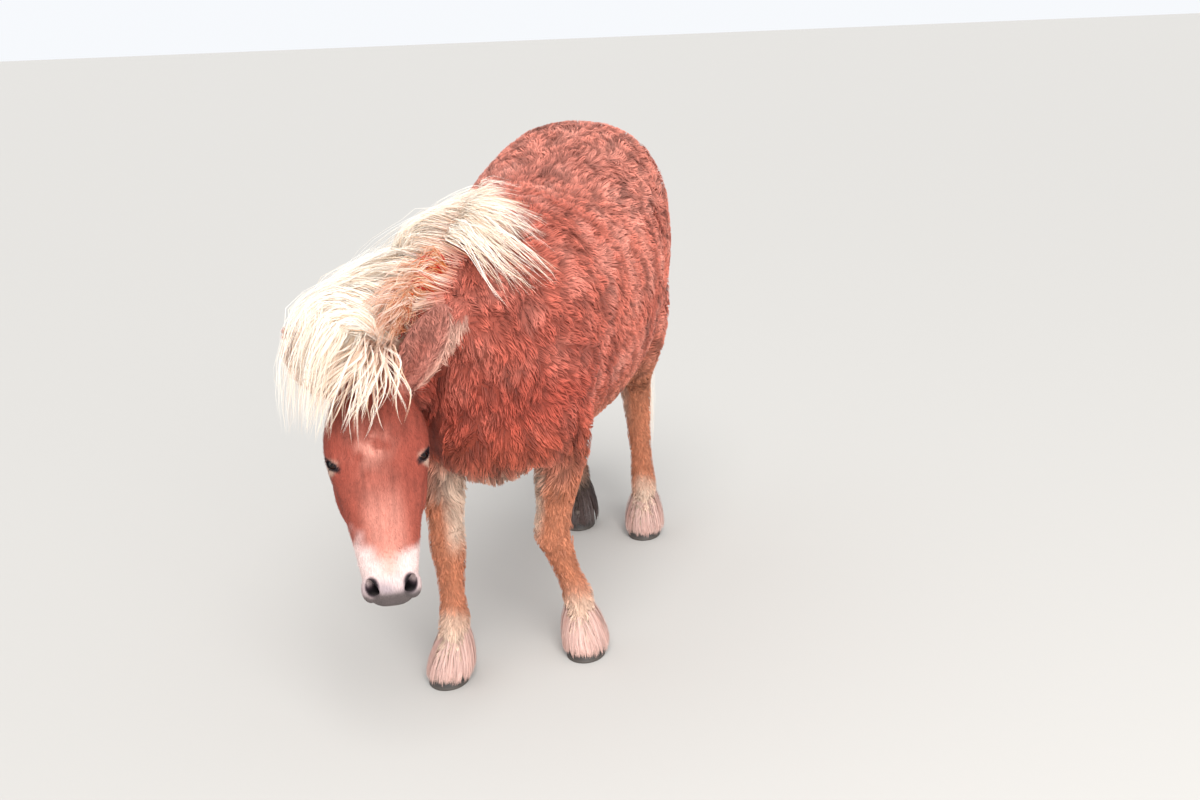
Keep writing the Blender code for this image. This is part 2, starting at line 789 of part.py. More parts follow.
def lock(path, tree, wide, thick, tilt=0.0):
    """A closed flat strand that widens from its root, lies along the skin and tapers to its tip.

    A tilt lifts one edge, so that the next strand of a row tucks under it.
    """
    form = bmesh.new()
    rings = []
    last = len(path) - 1
    for k, point in enumerate(path[:-1]):
        tangent = (path[k + 1] - path[max(k - 1, 0)]).normalized()
        out = tree.find_nearest(path[max(k, 1)])[1]
        out = (out - tangent * tangent.dot(out)).normalized()
        out = Matrix.Rotation(tilt, 3, tangent) @ out
        along = k / last
        share = min(1, 0.5 + 2 * along) * (1 - along**2.2)
        rings.append(add_ring(form, point, tangent.cross(out) * wide * share, out * thick * share))
    tip = form.verts.new(path[-1])
    for lower, upper in zip(rings, rings[1:]):
        for k in range(4):
            form.faces.new((lower[k - 1], lower[k], upper[k], upper[k - 1]))
    for k in range(4):
        form.faces.new((rings[-1][k - 1], rings[-1][k], tip))
    form.faces.new(rings[0])
    bmesh.ops.triangulate(form, faces=form.faces)
    return object_from(form, "lock")


def strand(path, start, end, tree, lift, wave=0.0, phase=0.0):
    """The part of a path between two shares of its length, which waves and keeps off the skin."""
    made = []
    for k in range(LOCK_STEPS + 1):
        along = k / LOCK_STEPS
        at = (start + (end - start) * along) * (len(path) - 1)
        i = min(int(at), len(path) - 2)
        point = path[i].lerp(path[i + 1], at - i)
        side = (path[i + 1] - path[i]).normalized().cross(tree.find_nearest(point)[1])
        made.append(point + side * wave * math.sin(phase + WAVE_TURN * k) * along)
    return lifted(made, tree, lift)


def fuse(core, strands, solver="EXACT"):
    """Joins closed strands to the form that they grow from, in one union."""
    group = bpy.data.collections.new("strands")
    for piece in strands:
        group.objects.link(piece)
    step = core.modifiers.new("fuse", "BOOLEAN")
    step.operand_type = "COLLECTION"
    step.collection = group
    step.operation = "UNION"
    step.solver = solver
    apply_modifiers(core)
    discard(*strands)
    bpy.data.collections.remove(group)
    keep_largest(core)


def mane_locks(tree, draw):
    """Locks down the right of the neck, and a tuft that stands up and falls to the left."""
    made = []
    for k in range(MANE_LOCKS):
        place = min(max((k + draw.uniform(-0.15, 0.15)) / (MANE_LOCKS - 1), 0), 1)
        start, lift = (0.30, MANE_GIRTH) if k % 2 else (0.12, 1.5 * MANE_GIRTH)
        end = draw.uniform(0.90, 1) if k % 2 else draw.uniform(0.80, 0.92)
        path = strand(guide_path(MANE, place), start, end, tree, lift, 0.010, 2 * (k % 2))
        made.append(lock(path, tree, MANE_WIDE, MANE_THICK, LOCK_TILT))
    for k in range(PUFF_LOCKS):
        path = guide_path(PUFF, k / (PUFF_LOCKS - 1))
        path = strand(path, 0.22, draw.uniform(0.90, 1), tree, MANE_LIFT + MANE_GIRTH * (k % 2))
        made.append(lock(path, tree, MANE_WIDE, MANE_THICK, -LOCK_TILT))
    return made


def forelock_locks(tree, draw):
    """Locks from the poll over the forehead to the right."""
    made = []
    for k in range(FORELOCK_LOCKS):
        place = min(max((k + draw.uniform(-0.2, 0.2)) / (FORELOCK_LOCKS - 1), 0), 1)
        start, lift = (0.30, FORELOCK_GIRTH) if k % 2 else (0.15, 1.7 * FORELOCK_GIRTH)
        path = guide_path(FORELOCK, place)
        path = strand(path, start, draw.uniform(0.85, 1), tree, lift, 0.006, 2 * (k % 2))
        made.append(lock(path, tree, FORELOCK_WIDE, 0.5 * MANE_THICK, LOCK_TILT))
    return made


def tail_core():
    """The dense upper half of the tail."""
    form = bmesh.new()
    rows = [(*p, g, 0.62 * g, 0.62 * g) for p, g in zip(TAIL[:5], TAIL_GIRTHS)]
    add_loft(form, rows, 7, sides=8)
    bmesh.ops.triangulate(form, faces=form.faces)
    return object_from(form, "tail")


def tail_locks(draw):
    """Locks all round the tail in three tiers, each from inside the core and longer than the last."""
    made = []
    tree = skin_tree(tube("line", TAIL, 0.004, 24, 6))
    line = bpy.data.objects["line"]
    middle = [Vector(p) for p in smooth_rows(TAIL, TAIL_STEPS)]
    for tier, (start, end) in enumerate(TAIL_TIERS):
        for k in range(TAIL_LOCKS):
            angle = 2 * math.pi * (k + 0.5 * tier + draw.uniform(-0.15, 0.15)) / TAIL_LOCKS
            reach = end - draw.uniform(0, 0.06)
            path = []
            for step in range(LOCK_STEPS + 1):
                along = step / LOCK_STEPS
                place = (start + (reach - start) * along) * (TAIL_STEPS - 1)
                i = min(int(place), TAIL_STEPS - 2)
                centre = middle[i].lerp(middle[i + 1], place - i)
                spread = TAIL_SPREAD * math.sin(math.pi * (0.15 + 0.72 * along))
                path.append(centre + Vector((math.cos(angle), 0.65 * math.sin(angle), 0)) * spread)
            made.append(lock(path, tree, TAIL_WIDE, MANE_THICK))
    discard(line)
    return made


def feather_locks(joints, draw):
    """Hair from the pastern all round the top of the hoof, longest behind."""
    made = []
    fetlock, sole = Vector(joints[3]), Vector(joints[4])
    line = tube("line", (fetlock + Vector((0, 0, 0.1)), fetlock, sole), 0.004, 8, 6)
    tree = skin_tree(line)
    for k in range(FEATHER_LOCKS):
        angle = 2 * math.pi * (k + draw.uniform(-0.12, 0.12)) / FEATHER_LOCKS
        out = Vector((math.sin(angle), math.cos(angle), 0))
        behind = 0.5 + 0.5 * math.cos(angle)
        top = fetlock.lerp(sole, 0.40 - 0.30 * behind)
        low = sole + Vector((0, 0, FEATHER_LOW + draw.uniform(0, 0.010)))
        path = [
            top + out * 0.022,
            top.lerp(low, 0.40) + out * (0.034 + 0.010 * behind),
            top.lerp(low, 0.75) + out * (HOOF_HALF_LENGTH + 0.003 + 0.008 * behind),
            low + out * (HOOF_HALF_LENGTH + 0.006 + 0.008 * behind),
        ]
        made.append(lock(path, tree, FEATHER_WIDE, 0.007))
    discard(line)
    return made


def fringe_locks(tree, draw):
    """Longer hair that hangs from the brisket."""
    made = []
    for k in range(FRINGE_LOCKS):
        place = k / (FRINGE_LOCKS - 1)
        x = FRINGE_REACH * math.sin(math.pi * (place - 0.5))
        y = FRINGE_FROM + draw.uniform(-0.012, 0.012) + 0.06 * abs(2 * place - 1)
        skin, normal, _, _ = tree.ray_cast(Vector((x, y, 0.2)), Vector((0, 0, 1)))
        down = Vector((0.1 * x, 0.35, -1)).normalized()
        length = FRINGE_LENGTH * draw.uniform(0.8, 1.1)
        path = [skin - normal * 0.012, skin + down * 0.35 * length, skin + down * 0.7 * length, skin + down * length]
        made.append(lock(path, tree, 0.018, 0.006))
    return made


def clear_of(piece, *others, by=TRIM):
    """Trims a piece so that it keeps a gap to its neighbours."""
    for other in others:
        inside = swollen(other, by)
        boolean(piece, inside, "DIFFERENCE")
        discard(inside)
    keep_largest(piece)


def settle(pieces):
    """Moves the finished animal so that the middle of its footprint is at the origin."""
    places = np.array([v.co for piece in pieces for v in piece.data.vertices])
    middle = (places.min(axis=0) + places.max(axis=0)) / 2
    for piece in pieces:
        piece.data.transform(Matrix.Translation((-middle[0], -middle[1], 0)))


def main():
    clear_scene()
    body = flesh("torso", BODY_VOXEL, BODY_FACES)
    head = head_and_throat()
    ears = [ear("ear_left", 1), ear("ear_right", -1)]
    tree = skin_tree(body, head, *ears)
    part_head(head, body)
    eyes = cut_eyes(head)
    cut_muzzle(head)
    neck = part_neck(body)
    for cup in ears:
        clear_of(cup, head, neck)
    legs = part_legs(body)

    crest = tube("crest", CREST, CREST_RADIUS, 12, 9)
    tuft = ball("tuft", on_head(0, 0.004, 0.0), (FORELOCK_RADIUS, 0.024, 0.022), place=HEAD, rings=6)
    dock = tube("dock", TAIL[:3], DOCK_RADIUS, 6, 9, ends=0.9)
    crest_cut, tuft_cut, dock_cut = (swollen(root, GAP) for root in (crest, tuft, dock))
    for piece, cutter in (
        (neck, crest_cut),
        (body, crest_cut),
        (head, crest_cut),
        (head, tuft_cut),
        (body, dock_cut),
    ):
        boolean(piece, cutter, "DIFFERENCE")
        keep_largest(piece)

    draw = random.Random(7)
    mane = hair_core("mane", MANE, 9, tree, MANE_GIRTH, 420)
    puff = hair_core("puff", PUFF, 5, tree, MANE_GIRTH, 160)
    fuse(mane, [crest, puff, *mane_locks(tree, draw)])
    clear_of(mane, neck, body, head, *ears)
    forelock = hair_core("forelock", FORELOCK, 5, tree, FORELOCK_GIRTH, 110)
    fuse(forelock, [tuft, *forelock_locks(tree, draw)])
    clear_of(forelock, head, mane, *ears)
    tail = tail_core()
    fuse(tail, [dock, *tail_locks(draw)])
    clear_of(tail, body, *legs)
    for leg, hoof_below, joints in zip(legs[::2], legs[1::2], LEGS.values()):
        fuse(leg, feather_locks(joints, draw))
        clear_of(leg, hoof_below)
    fuse(body, fringe_locks(tree, draw))
    clear_of(neck, mane, by=TRIM / 2)
    discard(crest_cut, tuft_cut, dock_cut)

    finishes = {
        "chestnut_coat": ((0.42, 0.13, 0.08), 0.85, [body, neck, head, *legs[::2], *ears]),
        "flaxen_hair": ((0.80, 0.62, 0.42), 0.70, [mane, forelock, tail]),
        "dark_horn": ((0.05, 0.04, 0.04), 0.55, legs[1::2]),
        "wet_eye": ((0.02, 0.012, 0.010), 0.08, eyes),
    }
    pieces = []
    for name, (colour, roughness, things) in finishes.items():
        material = finish(name, colour, roughness)
        for thing in things:
            thing.data.materials.clear()
            thing.data.materials.append(material)
            thing.data.shade_smooth()
            thing.data.set_sharp_from_angle(angle=math.radians(40))
            pieces.append(thing)
    settle(pieces)


main()
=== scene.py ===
"""Looks of a life-size Shetland pony in winter coat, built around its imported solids."""

import math

import bmesh
import bpy
import numpy as np
from mathutils import Matrix, Vector, kdtree
from mathutils.bvhtree import BVHTree


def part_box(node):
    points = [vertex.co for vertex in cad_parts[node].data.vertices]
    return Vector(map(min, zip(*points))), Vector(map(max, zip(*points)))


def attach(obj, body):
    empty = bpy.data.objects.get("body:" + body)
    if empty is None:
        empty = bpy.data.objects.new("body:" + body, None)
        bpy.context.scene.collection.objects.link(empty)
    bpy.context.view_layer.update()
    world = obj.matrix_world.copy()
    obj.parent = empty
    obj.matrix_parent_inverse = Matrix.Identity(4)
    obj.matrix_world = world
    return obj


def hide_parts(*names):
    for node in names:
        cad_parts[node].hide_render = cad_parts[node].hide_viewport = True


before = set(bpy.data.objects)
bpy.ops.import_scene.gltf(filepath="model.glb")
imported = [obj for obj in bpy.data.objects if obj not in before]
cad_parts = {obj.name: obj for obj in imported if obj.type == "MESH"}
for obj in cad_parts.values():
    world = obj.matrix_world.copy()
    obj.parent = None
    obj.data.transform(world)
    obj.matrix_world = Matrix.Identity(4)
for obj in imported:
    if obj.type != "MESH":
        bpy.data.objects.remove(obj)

bl_info = {
    "name": "Shetland pony",
    "version": (1, 0, 0),
    "blender": (4, 5, 0),
    "location": "View3D > Sidebar > Pony",
    "description": "Skin, winter coat, long hair, eyes and hooves of a standing pony",
    "category": "Add Mesh",
}

# Sizes are in metres, in the axes that the animal is built in, before it is moved over its footprint.
# The hooves are a little smaller than those of the solids, whose feather is one with the leg.
HOOF_HEIGHT = 0.050
HOOF_HALF_WIDTH = 0.042
HOOF_HALF_LENGTH = 0.047
# How many rings of growth a hoof has, their depth as a share of its width, and how much its top draws in.
HOOF_RINGS = 7
HOOF_RING_DEPTH = 0.008
HOOF_TAPER = 0.14
EYE_RADIUS = 0.0175
LID_THICKNESS = 0.0040
EAR_HALF_WIDTH = 0.040
EAR_WALL = 0.008

# The trunk: place along the body, then the heights of the widest level, back and belly, and half width.
TRUNK = (
    (0.605, 0.850, 0.920, 0.750, 0.070),
    (0.572, 0.850, 1.010, 0.660, 0.150),
    (0.505, 0.845, 1.066, 0.580, 0.204),
    (0.420, 0.830, 1.084, 0.535, 0.228),
    (0.320, 0.790, 1.062, 0.490, 0.240),
    (0.200, 0.750, 1.018, 0.452, 0.250),
    (0.080, 0.730, 0.990, 0.440, 0.252),
    (-0.060, 0.725, 0.978, 0.448, 0.240),
    (-0.180, 0.725, 0.982, 0.462, 0.216),
    (-0.280, 0.720, 0.960, 0.470, 0.196),
    (-0.370, 0.680, 0.880, 0.484, 0.162),
    (-0.435, 0.640, 0.780, 0.520, 0.112),
    (-0.462, 0.630, 0.700, 0.580, 0.050),
)
# How far the trunk stands to the right, and between which places along the body it comes to stand there.
SWAY = 0.022
SWAY_FROM = -0.25
SWAY_TO = 0.15

# Round masses on the trunk: centre, radii, and lean in degrees. The paired ones are on both sides.
CHEST = ((0, -0.370, 0.565), (0.125, 0.090, 0.115))
NECK_BASE = ((0.010, -0.350, 0.690), (0.118, 0.110, 0.125))
SHOULDER = ((0.118, -0.265, 0.720), (0.088, 0.120, 0.200), -14)
HAUNCH = ((0.118, 0.415, 0.810), (0.108, 0.165, 0.225), 12)
BREAST = ((0.105, -0.330, 0.590), (0.075, 0.095, 0.115), 0)

# The neck: centre, half width, and the half depths up to the crest and down to the throat.
NECK = (
    (0.000, -0.150, 0.760, 0.140, 0.205, 0.190),
    (-0.015, -0.280, 0.775, 0.126, 0.190, 0.190),
    (-0.064, -0.375, 0.760, 0.094, 0.178, 0.165),
    (-0.115, -0.440, 0.725, 0.070, 0.135, 0.130),
    (-0.145, -0.490, 0.675, 0.060, 0.085, 0.100),
    (-0.155, -0.515, 0.635, 0.055, 0.060, 0.080),
)

# The joints of each leg from the top down, the last being the middle of the sole.
LEGS = {
    "fore_left": (
        (0.110, -0.265, 0.680),
        (0.128, -0.285, 0.545),
        (0.080, -0.248, 0.300),
        (0.108, -0.182, 0.118),
        (0.128, -0.205, 0.0),
    ),
    "fore_right": (
        (-0.110, -0.265, 0.680),
        (-0.135, -0.300, 0.545),
        (-0.112, -0.345, 0.295),
        (-0.118, -0.335, 0.118),
        (-0.125, -0.366, 0.0),
    ),
    "hind_left": (
        (0.100, 0.390, 0.820),
        (0.135, 0.315, 0.600),
        (0.088, 0.490, 0.380),
        (0.102, 0.482, 0.118),
        (0.110, 0.442, 0.0),
    ),
    "hind_right": (
        (-0.135, 0.390, 0.820),
        (-0.160, 0.325, 0.600),
        (-0.112, 0.515, 0.380),
        (-0.088, 0.515, 0.118),
        (-0.078, 0.476, 0.0),
    ),
}
# The girths of the legs: number of the bone, share along it, half width, and half depths to front and back.
FORE_GIRTHS = (
    (0, 0.00, 0.070, 0.090, 0.090),
    (1, 0.00, 0.062, 0.072, 0.076),
    (1, 0.45, 0.050, 0.054, 0.058),
    (1, 0.80, 0.039, 0.041, 0.043),
    (2, 0.00, 0.040, 0.044, 0.038),
    (2, 0.25, 0.034, 0.034, 0.035),
    (2, 0.65, 0.029, 0.028, 0.034),
    (3, 0.00, 0.036, 0.035, 0.044),
    (3, 0.35, 0.036, 0.037, 0.039),
    (3, 0.62, 0.043, 0.046, 0.045),
    (3, 0.85, 0.036, 0.038, 0.037),
)
HIND_GIRTHS = (
    (0, 0.00, 0.085, 0.140, 0.135),
    (0, 0.55, 0.092, 0.130, 0.135),
    (1, 0.00, 0.080, 0.100, 0.125),
    (1, 0.40, 0.060, 0.072, 0.082),
    (1, 0.75, 0.044, 0.049, 0.054),
    (2, 0.00, 0.041, 0.043, 0.052),
    (2, 0.25, 0.035, 0.035, 0.040),
    (2, 0.65, 0.030, 0.031, 0.036),
    (3, 0.00, 0.036, 0.037, 0.046),
    (3, 0.35, 0.036, 0.038, 0.040),
    (3, 0.62, 0.043, 0.047, 0.045),
    (3, 0.85, 0.036, 0.038, 0.037),
)

# Guide strands of the long hair, each from its root to its tip, and the middle of the tail.
MANE = (
    ((0.000, -0.215, 0.955), (-0.050, -0.235, 0.962), (-0.110, -0.280, 0.925), (-0.165, -0.330, 0.830)),
    ((-0.020, -0.310, 0.945), (-0.075, -0.360, 0.950), (-0.150, -0.410, 0.885), (-0.195, -0.460, 0.760)),
    ((-0.055, -0.395, 0.910), (-0.115, -0.450, 0.915), (-0.205, -0.540, 0.855), (-0.252, -0.620, 0.665)),
    ((-0.090, -0.470, 0.850), (-0.145, -0.550, 0.880), (-0.236, -0.643, 0.826), (-0.236, -0.694, 0.632)),
    ((-0.120, -0.530, 0.765), (-0.150, -0.610, 0.845), (-0.191, -0.684, 0.822), (-0.202, -0.712, 0.649)),
    ((-0.121, -0.555, 0.784), (-0.120, -0.635, 0.839), (-0.156, -0.696, 0.814), (-0.180, -0.728, 0.670)),
)
PUFF = (
    ((-0.022, -0.300, 0.948), (-0.008, -0.320, 0.992), (0.015, -0.315, 1.020), (0.034, -0.270, 1.026)),
    ((-0.030, -0.330, 0.938), (-0.002, -0.350, 0.990), (0.060, -0.350, 0.998), (0.125, -0.305, 0.958)),
    ((-0.038, -0.360, 0.928), (-0.002, -0.385, 0.968), (0.070, -0.400, 0.948), (0.168, -0.385, 0.840)),
    ((-0.046, -0.390, 0.915), (-0.015, -0.420, 0.938), (0.050, -0.440, 0.900), (0.100, -0.430, 0.820)),
)
FORELOCK = (
    ((-0.121, -0.555, 0.784), (-0.129, -0.649, 0.802), (-0.170, -0.717, 0.762), (-0.209, -0.740, 0.658)),
    ((-0.118, -0.554, 0.784), (-0.115, -0.654, 0.791), (-0.143, -0.718, 0.738), (-0.172, -0.725, 0.655)),
    ((-0.115, -0.554, 0.784), (-0.102, -0.649, 0.779), (-0.112, -0.703, 0.724), (-0.137, -0.709, 0.640)),
    ((-0.111, -0.553, 0.784), (-0.087, -0.642, 0.771), (-0.092, -0.685, 0.712), (-0.117, -0.691, 0.631)),
    ((-0.106, -0.551, 0.785), (-0.069, -0.633, 0.769), (-0.062, -0.656, 0.722), (-0.067, -0.653, 0.671)),
    ((-0.101, -0.549, 0.786), (-0.057, -0.620, 0.765), (-0.043, -0.634, 0.709), (-0.057, -0.638, 0.641)),
)
POLL_TUFT = (
    ((-0.050, -0.417, 0.880), (-0.053, -0.453, 0.906), (-0.072, -0.489, 0.913), (-0.098, -0.521, 0.902)),
    ((-0.066, -0.443, 0.848), (-0.071, -0.491, 0.874), (-0.086, -0.537, 0.876), (-0.113, -0.573, 0.856)),
    ((-0.085, -0.484, 0.805), (-0.085, -0.536, 0.847), (-0.095, -0.583, 0.844), (-0.118, -0.621, 0.814)),
    ((-0.096, -0.521, 0.766), (-0.082, -0.568, 0.812), (-0.085, -0.612, 0.812), (-0.102, -0.648, 0.783)),
)
TAIL = (
    (0.000, 0.560, 0.945),
    (0.000, 0.600, 0.915),
    (0.000, 0.632, 0.850),
    (0.012, 0.648, 0.700),
    (0.040, 0.645, 0.500),
    (0.066, 0.635, 0.300),
    (0.074, 0.625, 0.130),
)

# Where the head hangs, and its skull: distance down the face, half width, and the levels of the
# widest place, the forehead and the jaw, measured out of the face.
POLL = Vector((-0.138, -0.570, 0.724))
HEAD_TURN = math.radians(26.6)
FACE_LEAN = math.radians(36)
SKULL = (
    (-0.015, 0.060, -0.070, -0.020, -0.150),
    (0.020, 0.072, -0.055, 0.004, -0.185),
    (0.060, 0.084, -0.045, 0.012, -0.196),
    (0.100, 0.093, -0.038, 0.016, -0.194),
    (0.145, 0.092, -0.038, 0.012, -0.188),
    (0.200, 0.079, -0.042, 0.001, -0.176),
    (0.250, 0.067, -0.050, -0.007, -0.152),
    (0.300, 0.058, -0.056, -0.012, -0.132),
    (0.340, 0.052, -0.062, -0.016, -0.118),
    (0.374, 0.046, -0.064, -0.024, -0.104),
    (0.393, 0.036, -0.066, -0.038, -0.092),
    (0.402, 0.020, -0.066, -0.054, -0.080),
)
# Places on the head are to its left, down the face from the poll, and out of the face.
EYE = (0.069, 0.150, -0.030)
# How many degrees the eyes face aside and their slits slant, and the half sizes of a slit.
EYE_FACING = 56
EYE_SLANT = 42
SLIT = (0.0195, 0.0064, 0.014)
# The nostrils, and the half sizes of the pits that open them.
NOSTRIL = (0.033, 0.374, -0.027)
NOSTRIL_PIT = (0.0082, 0.0160, 0.024)
# The middle of the mouth, and the half sizes of the flat ring that draws its line and of what it leaves
# inside.
MOUTH = (0, 0.330, -0.091)
MOUTH_OUTSIDE = (0.070, 0.100, 0.030)
MOUTH_INSIDE = (0.036, 0.062, 0.02)
EAR_BASE = (0.058, 0.012, -0.014)
EAR_TIP = (0.145, -0.088, 0.088)
# The way that an ear opens, and the length of the right one as a share of the left one's.
EAR_OPENING = (0.26, 0.25, 0.90)
RIGHT_EAR_SHARE = 0.84
# Up an ear: its half width, as a share of the widest, and the degrees that its wall reaches round to each
# side.
EAR_SHAPE = (
    (0.00, 0.60, 125),
    (0.18, 0.78, 105),
    (0.40, 1.00, 78),
    (0.62, 0.98, 66),
    (0.82, 0.72, 58),
    (0.95, 0.34, 50),
    (1.00, 0.12, 50),
)
# The plane that parts the head from the neck: a place on it, and the way that it faces.
HEAD_CUT = (0.0, -0.034, 0.0)
HEAD_CUT_FACING = (0.30, 0.92, -0.25)
# How far the head reaches aside, down the face and behind it, and how far aside the jaw, and behind what
# level.
HEAD_REACH = (0.20, 0.44, -0.23)
BESIDE_JAW = (0.125, -0.05)

# Round masses on the head: place, radii, and lean in degrees about an axis. Those with a lean are on both
# sides.
CHIN = ((0, 0.362, -0.084), (0.036, 0.033, 0.025))
LIPS = ((0, 0.380, -0.064), (0.031, 0.022, 0.028))
JOWL = ((0.052, 0.105, -0.118), (0.032, 0.080, 0.072), 0, "Y")
BROW = ((0.070, 0.132, -0.020), (0.024, 0.036, 0.020), 35, "Y")
CHEEKBONE = ((0.062, 0.205, -0.052), (0.020, 0.060, 0.018), -10, "Z")
NOSTRIL_FLESH = ((0.032, 0.369, -0.046), (0.021, 0.030, 0.027), 12, "Z")
EAR_ROOT = ((0.050, 0.014, -0.030), (0.031, 0.032, 0.030), 0, "Z")

# The photo's camera: its place, how it is turned, tipped and rolled, and its lens on a 36 mm sensor.
CAMERA_PLACE = Vector((0.831, -2.528, 1.328))
CAMERA_YAW = math.radians(15.552)
CAMERA_PITCH = math.radians(17.328)
CAMERA_ROLL = math.radians(-2.654)
CAMERA_LENS = 37.53

# How finely the skin of body and head is fused, and the share of its triangles that is kept.
BODY_VOXEL = 0.0065
HEAD_VOXEL = 0.0024
SKIN_KEPT = 0.60
# How far hair keeps off the floor, and how far the locks of long hair keep off the skin.
FLOOR_CLEAR = 0.003
COAT_OVER = 0.008
# How deep the coat is on the legs, and how much deeper on the body and over the feet. How deep it is on
# the face, how much deeper at poll and jaw, and how deep on the ears.
LEG_DEPTH = 0.005
BODY_MORE = 0.004
FOOT_MORE = 0.006
FACE_DEPTH = 0.0015
JAW_MORE = 0.007
EAR_DEPTH = 0.0008
# How far down the face the muzzle's bare skin starts.
BARE_FROM = 0.355
# The size of each hair's patch in its unwrap.
PATCH = 0.003
# Painted shade: how much of its colour the coat keeps at its roots, and the skin under it on body, legs and
# head, which lie under the hair.
ROOT_SHADE = 0.66
UNDER_SHADE = 0.60
LEG_SHADE = 0.80
HEAD_SHADE = 0.92
# How much red, green and blue the coat loses as painted shade at the breast, where the shade is deepest.
BREAST_SHADE = (0.26, 0.52, 0.56)
# How much red, green and blue the feather and the fringe keep of the coat's colour.
FEATHER_TINT = (0.87, 0.76, 0.84)
FRINGE_TINT = (1.0, 0.95, 0.90)

# Heights, and places along the body, between which the coat goes over from one colour to the next, or into
# the painted sheen on the top of the back and rump and the painted shade at the breast.
BACK_SHEEN_HEIGHTS = (0.80, 0.96)
BACK_SHEEN_PLACES = (-0.10, 0.15)
LEG_HEIGHTS = (0.40, 0.64)
BREAST_PLACES = (-0.38, -0.05)
BREAST_LOW = (0.34, 0.54)
BREAST_HIGH = (0.60, 0.88)
CREAM_LOW = (0.27, 0.34)
CREAM_HIGH = (0.43, 0.51)
FOOT_HEIGHTS = (0.085, 0.175)
MUD_HEIGHTS = (0.10, 0.20)
# The same down the face: the pale bridge, the dark brow, the white muzzle, its grey end and the lower lip.
BRIDGE_DOWN = (0.16, 0.25)
BROW_DOWN = (0.17, 0.27)
MUZZLE_DOWN = (0.318, 0.362)
GREY_DOWN = (0.345, 0.385)
LIP_DOWN = (0.378, 0.392)
# The faint star on the forehead: its place to the left and down the face, and its half sizes.
STAR = (-0.012, 0.135)
STAR_SIZE = (0.030, 0.034)

# The way from the crest's top down the neck's left side, over which the mane's roots are spread.
ROOTS_ASIDE = (0.84, 0.30, -0.46)
# The full half width of the tail, and how far the feather ends over the ground.
TAIL_SPREAD = 0.050
FEATHER_LOW = 0.009
# The fringe under the chest: its half width, where it starts along the body, and its length.
FRINGE_REACH = 0.105
FRINGE_FROM = -0.33
FRINGE_LENGTH = 0.042
# Width, length and depth of the patches that stand for the flat hairs of the face.
FLAT_HAIR = (0.0013, 0.011, 0.004)

# The soft lights, each by its place and width, the colour of the sky, and where the lights look.
SUN_PLACE = (1.0, -2.4, 4.2)
SUN_WIDTH = 0.7
FRONT_PLACE = (2.4, -3.4, 1.5)
FRONT_WIDTH = 2.6
SKY_COLOUR = (0.93, 0.95, 0.98)
LIT_PLACE = (0, 0, 0.6)


def linear(colour):
    """An sRGB hex colour as linear numbers."""
    parts = [int(colour[i : i + 2], 16) / 255 for i in (1, 3, 5)]
    return np.array([c / 12.92 if c <= 0.04045 else ((c + 0.055) / 1.055) ** 2.4 for c in parts])


def step(values, low, high):
    """A smooth rise from 0 at low to 1 at high."""
    share = np.clip((np.asarray(values, float) - low) / (high - low), 0, 1)
    return share * share * (3 - 2 * share)


def mix(first, second, share):
    share = np.asarray(share)[..., None]
    return first * (1 - share) + second * share


def unit(vectors):
    return vectors / (np.linalg.norm(vectors, axis=-1, keepdims=True) + 1e-12)


def head_matrix():
    """From the head's axes to the model's: x to its left, y up the face from the poll, z out of it."""
    turn = Matrix.Rotation(HEAD_TURN, 4, "Z")
    tip = Matrix.Rotation(math.pi / 2 - FACE_LEAN, 4, "X")
    return Matrix.Translation(POLL) @ turn @ tip


HEAD = head_matrix()
HEAD_ARRAY = np.array(HEAD)
FROM_HEAD = np.array(HEAD.inverted())


def on_head(left, down, out):
    return Vector((left, -down, out))


def on_side(place, side):
    """A place on the head for side 1, and its twin on the right for side -1."""
    left, down, out = place
    return on_head(side * left, down, out)


def head_places(points):
    """Places of an array of points in the head's axes: to its left, down the face, out of it."""
    local = points @ FROM_HEAD[:3, :3].T + FROM_HEAD[:3, 3]
    return local[:, 0], -local[:, 1], local[:, 2]


def shift():
    """From the axes that the animal is built in to those of the solids."""
    low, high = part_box("eye_left")
    return (low + high) / 2 - HEAD @ on_head(*EYE)


SHIFT = shift()


def turned(degrees, axis):
    return Matrix.Rotation(math.radians(degrees), 4, axis)


def object_from(form, name):
    mesh = bpy.data.meshes.new(name)
    bmesh.ops.recalc_face_normals(form, faces=form.faces)
    form.to_mesh(mesh)
    form.free()
    made = bpy.data.objects.new(name, mesh)
    bpy.context.scene.collection.objects.link(made)
    return made


def apply_modifiers(thing):
    graph = bpy.context.evaluated_depsgraph_get()
    mesh = bpy.data.meshes.new_from_object(thing.evaluated_get(graph))
    thing.modifiers.clear()
    old = thing.data
    thing.data = mesh
    bpy.data.meshes.remove(old)
    return thing


def boolean(thing, cutter, operation):
    """Joins or cuts a closed mesh with another, which is removed."""
    made = thing.modifiers.new(operation, "BOOLEAN")
    made.operation = operation
    made.object = cutter
    made.solver = "MANIFOLD"
    apply_modifiers(thing)
    bpy.data.objects.remove(cutter)


def remesh(thing, voxel, rounds):
    """Fuses overlapping forms into one skin and relaxes it."""
    made = thing.modifiers.new("fuse", "REMESH")
    made.mode = "VOXEL"
    made.voxel_size = voxel
    made = thing.modifiers.new("relax", "SMOOTH")
    made.factor = 0.5
    made.iterations = rounds
    apply_modifiers(thing)


def smooth_rows(rows, count):
    """Reads count rows off a Catmull-Rom curve through a few rows of numbers."""
    rows = np.array(rows, float)
    ends = np.vstack([2 * rows[0] - rows[1], rows, 2 * rows[-1] - rows[-2]])
    made = []
    for place in np.linspace(0, len(rows) - 1, count):
        i = min(int(place), len(rows) - 2)
        t = place - i
        a, b, c, d = ends[i : i + 4]
        bend = (2 * a - 5 * b + 4 * c - d) * t**2 + (3 * b - a - 3 * c + d) * t**3
        made.append(b + 0.5 * ((c - a) * t + bend))
    return np.array(made)


def power(value, exponent):
    return math.copysign(abs(value) ** exponent, value)


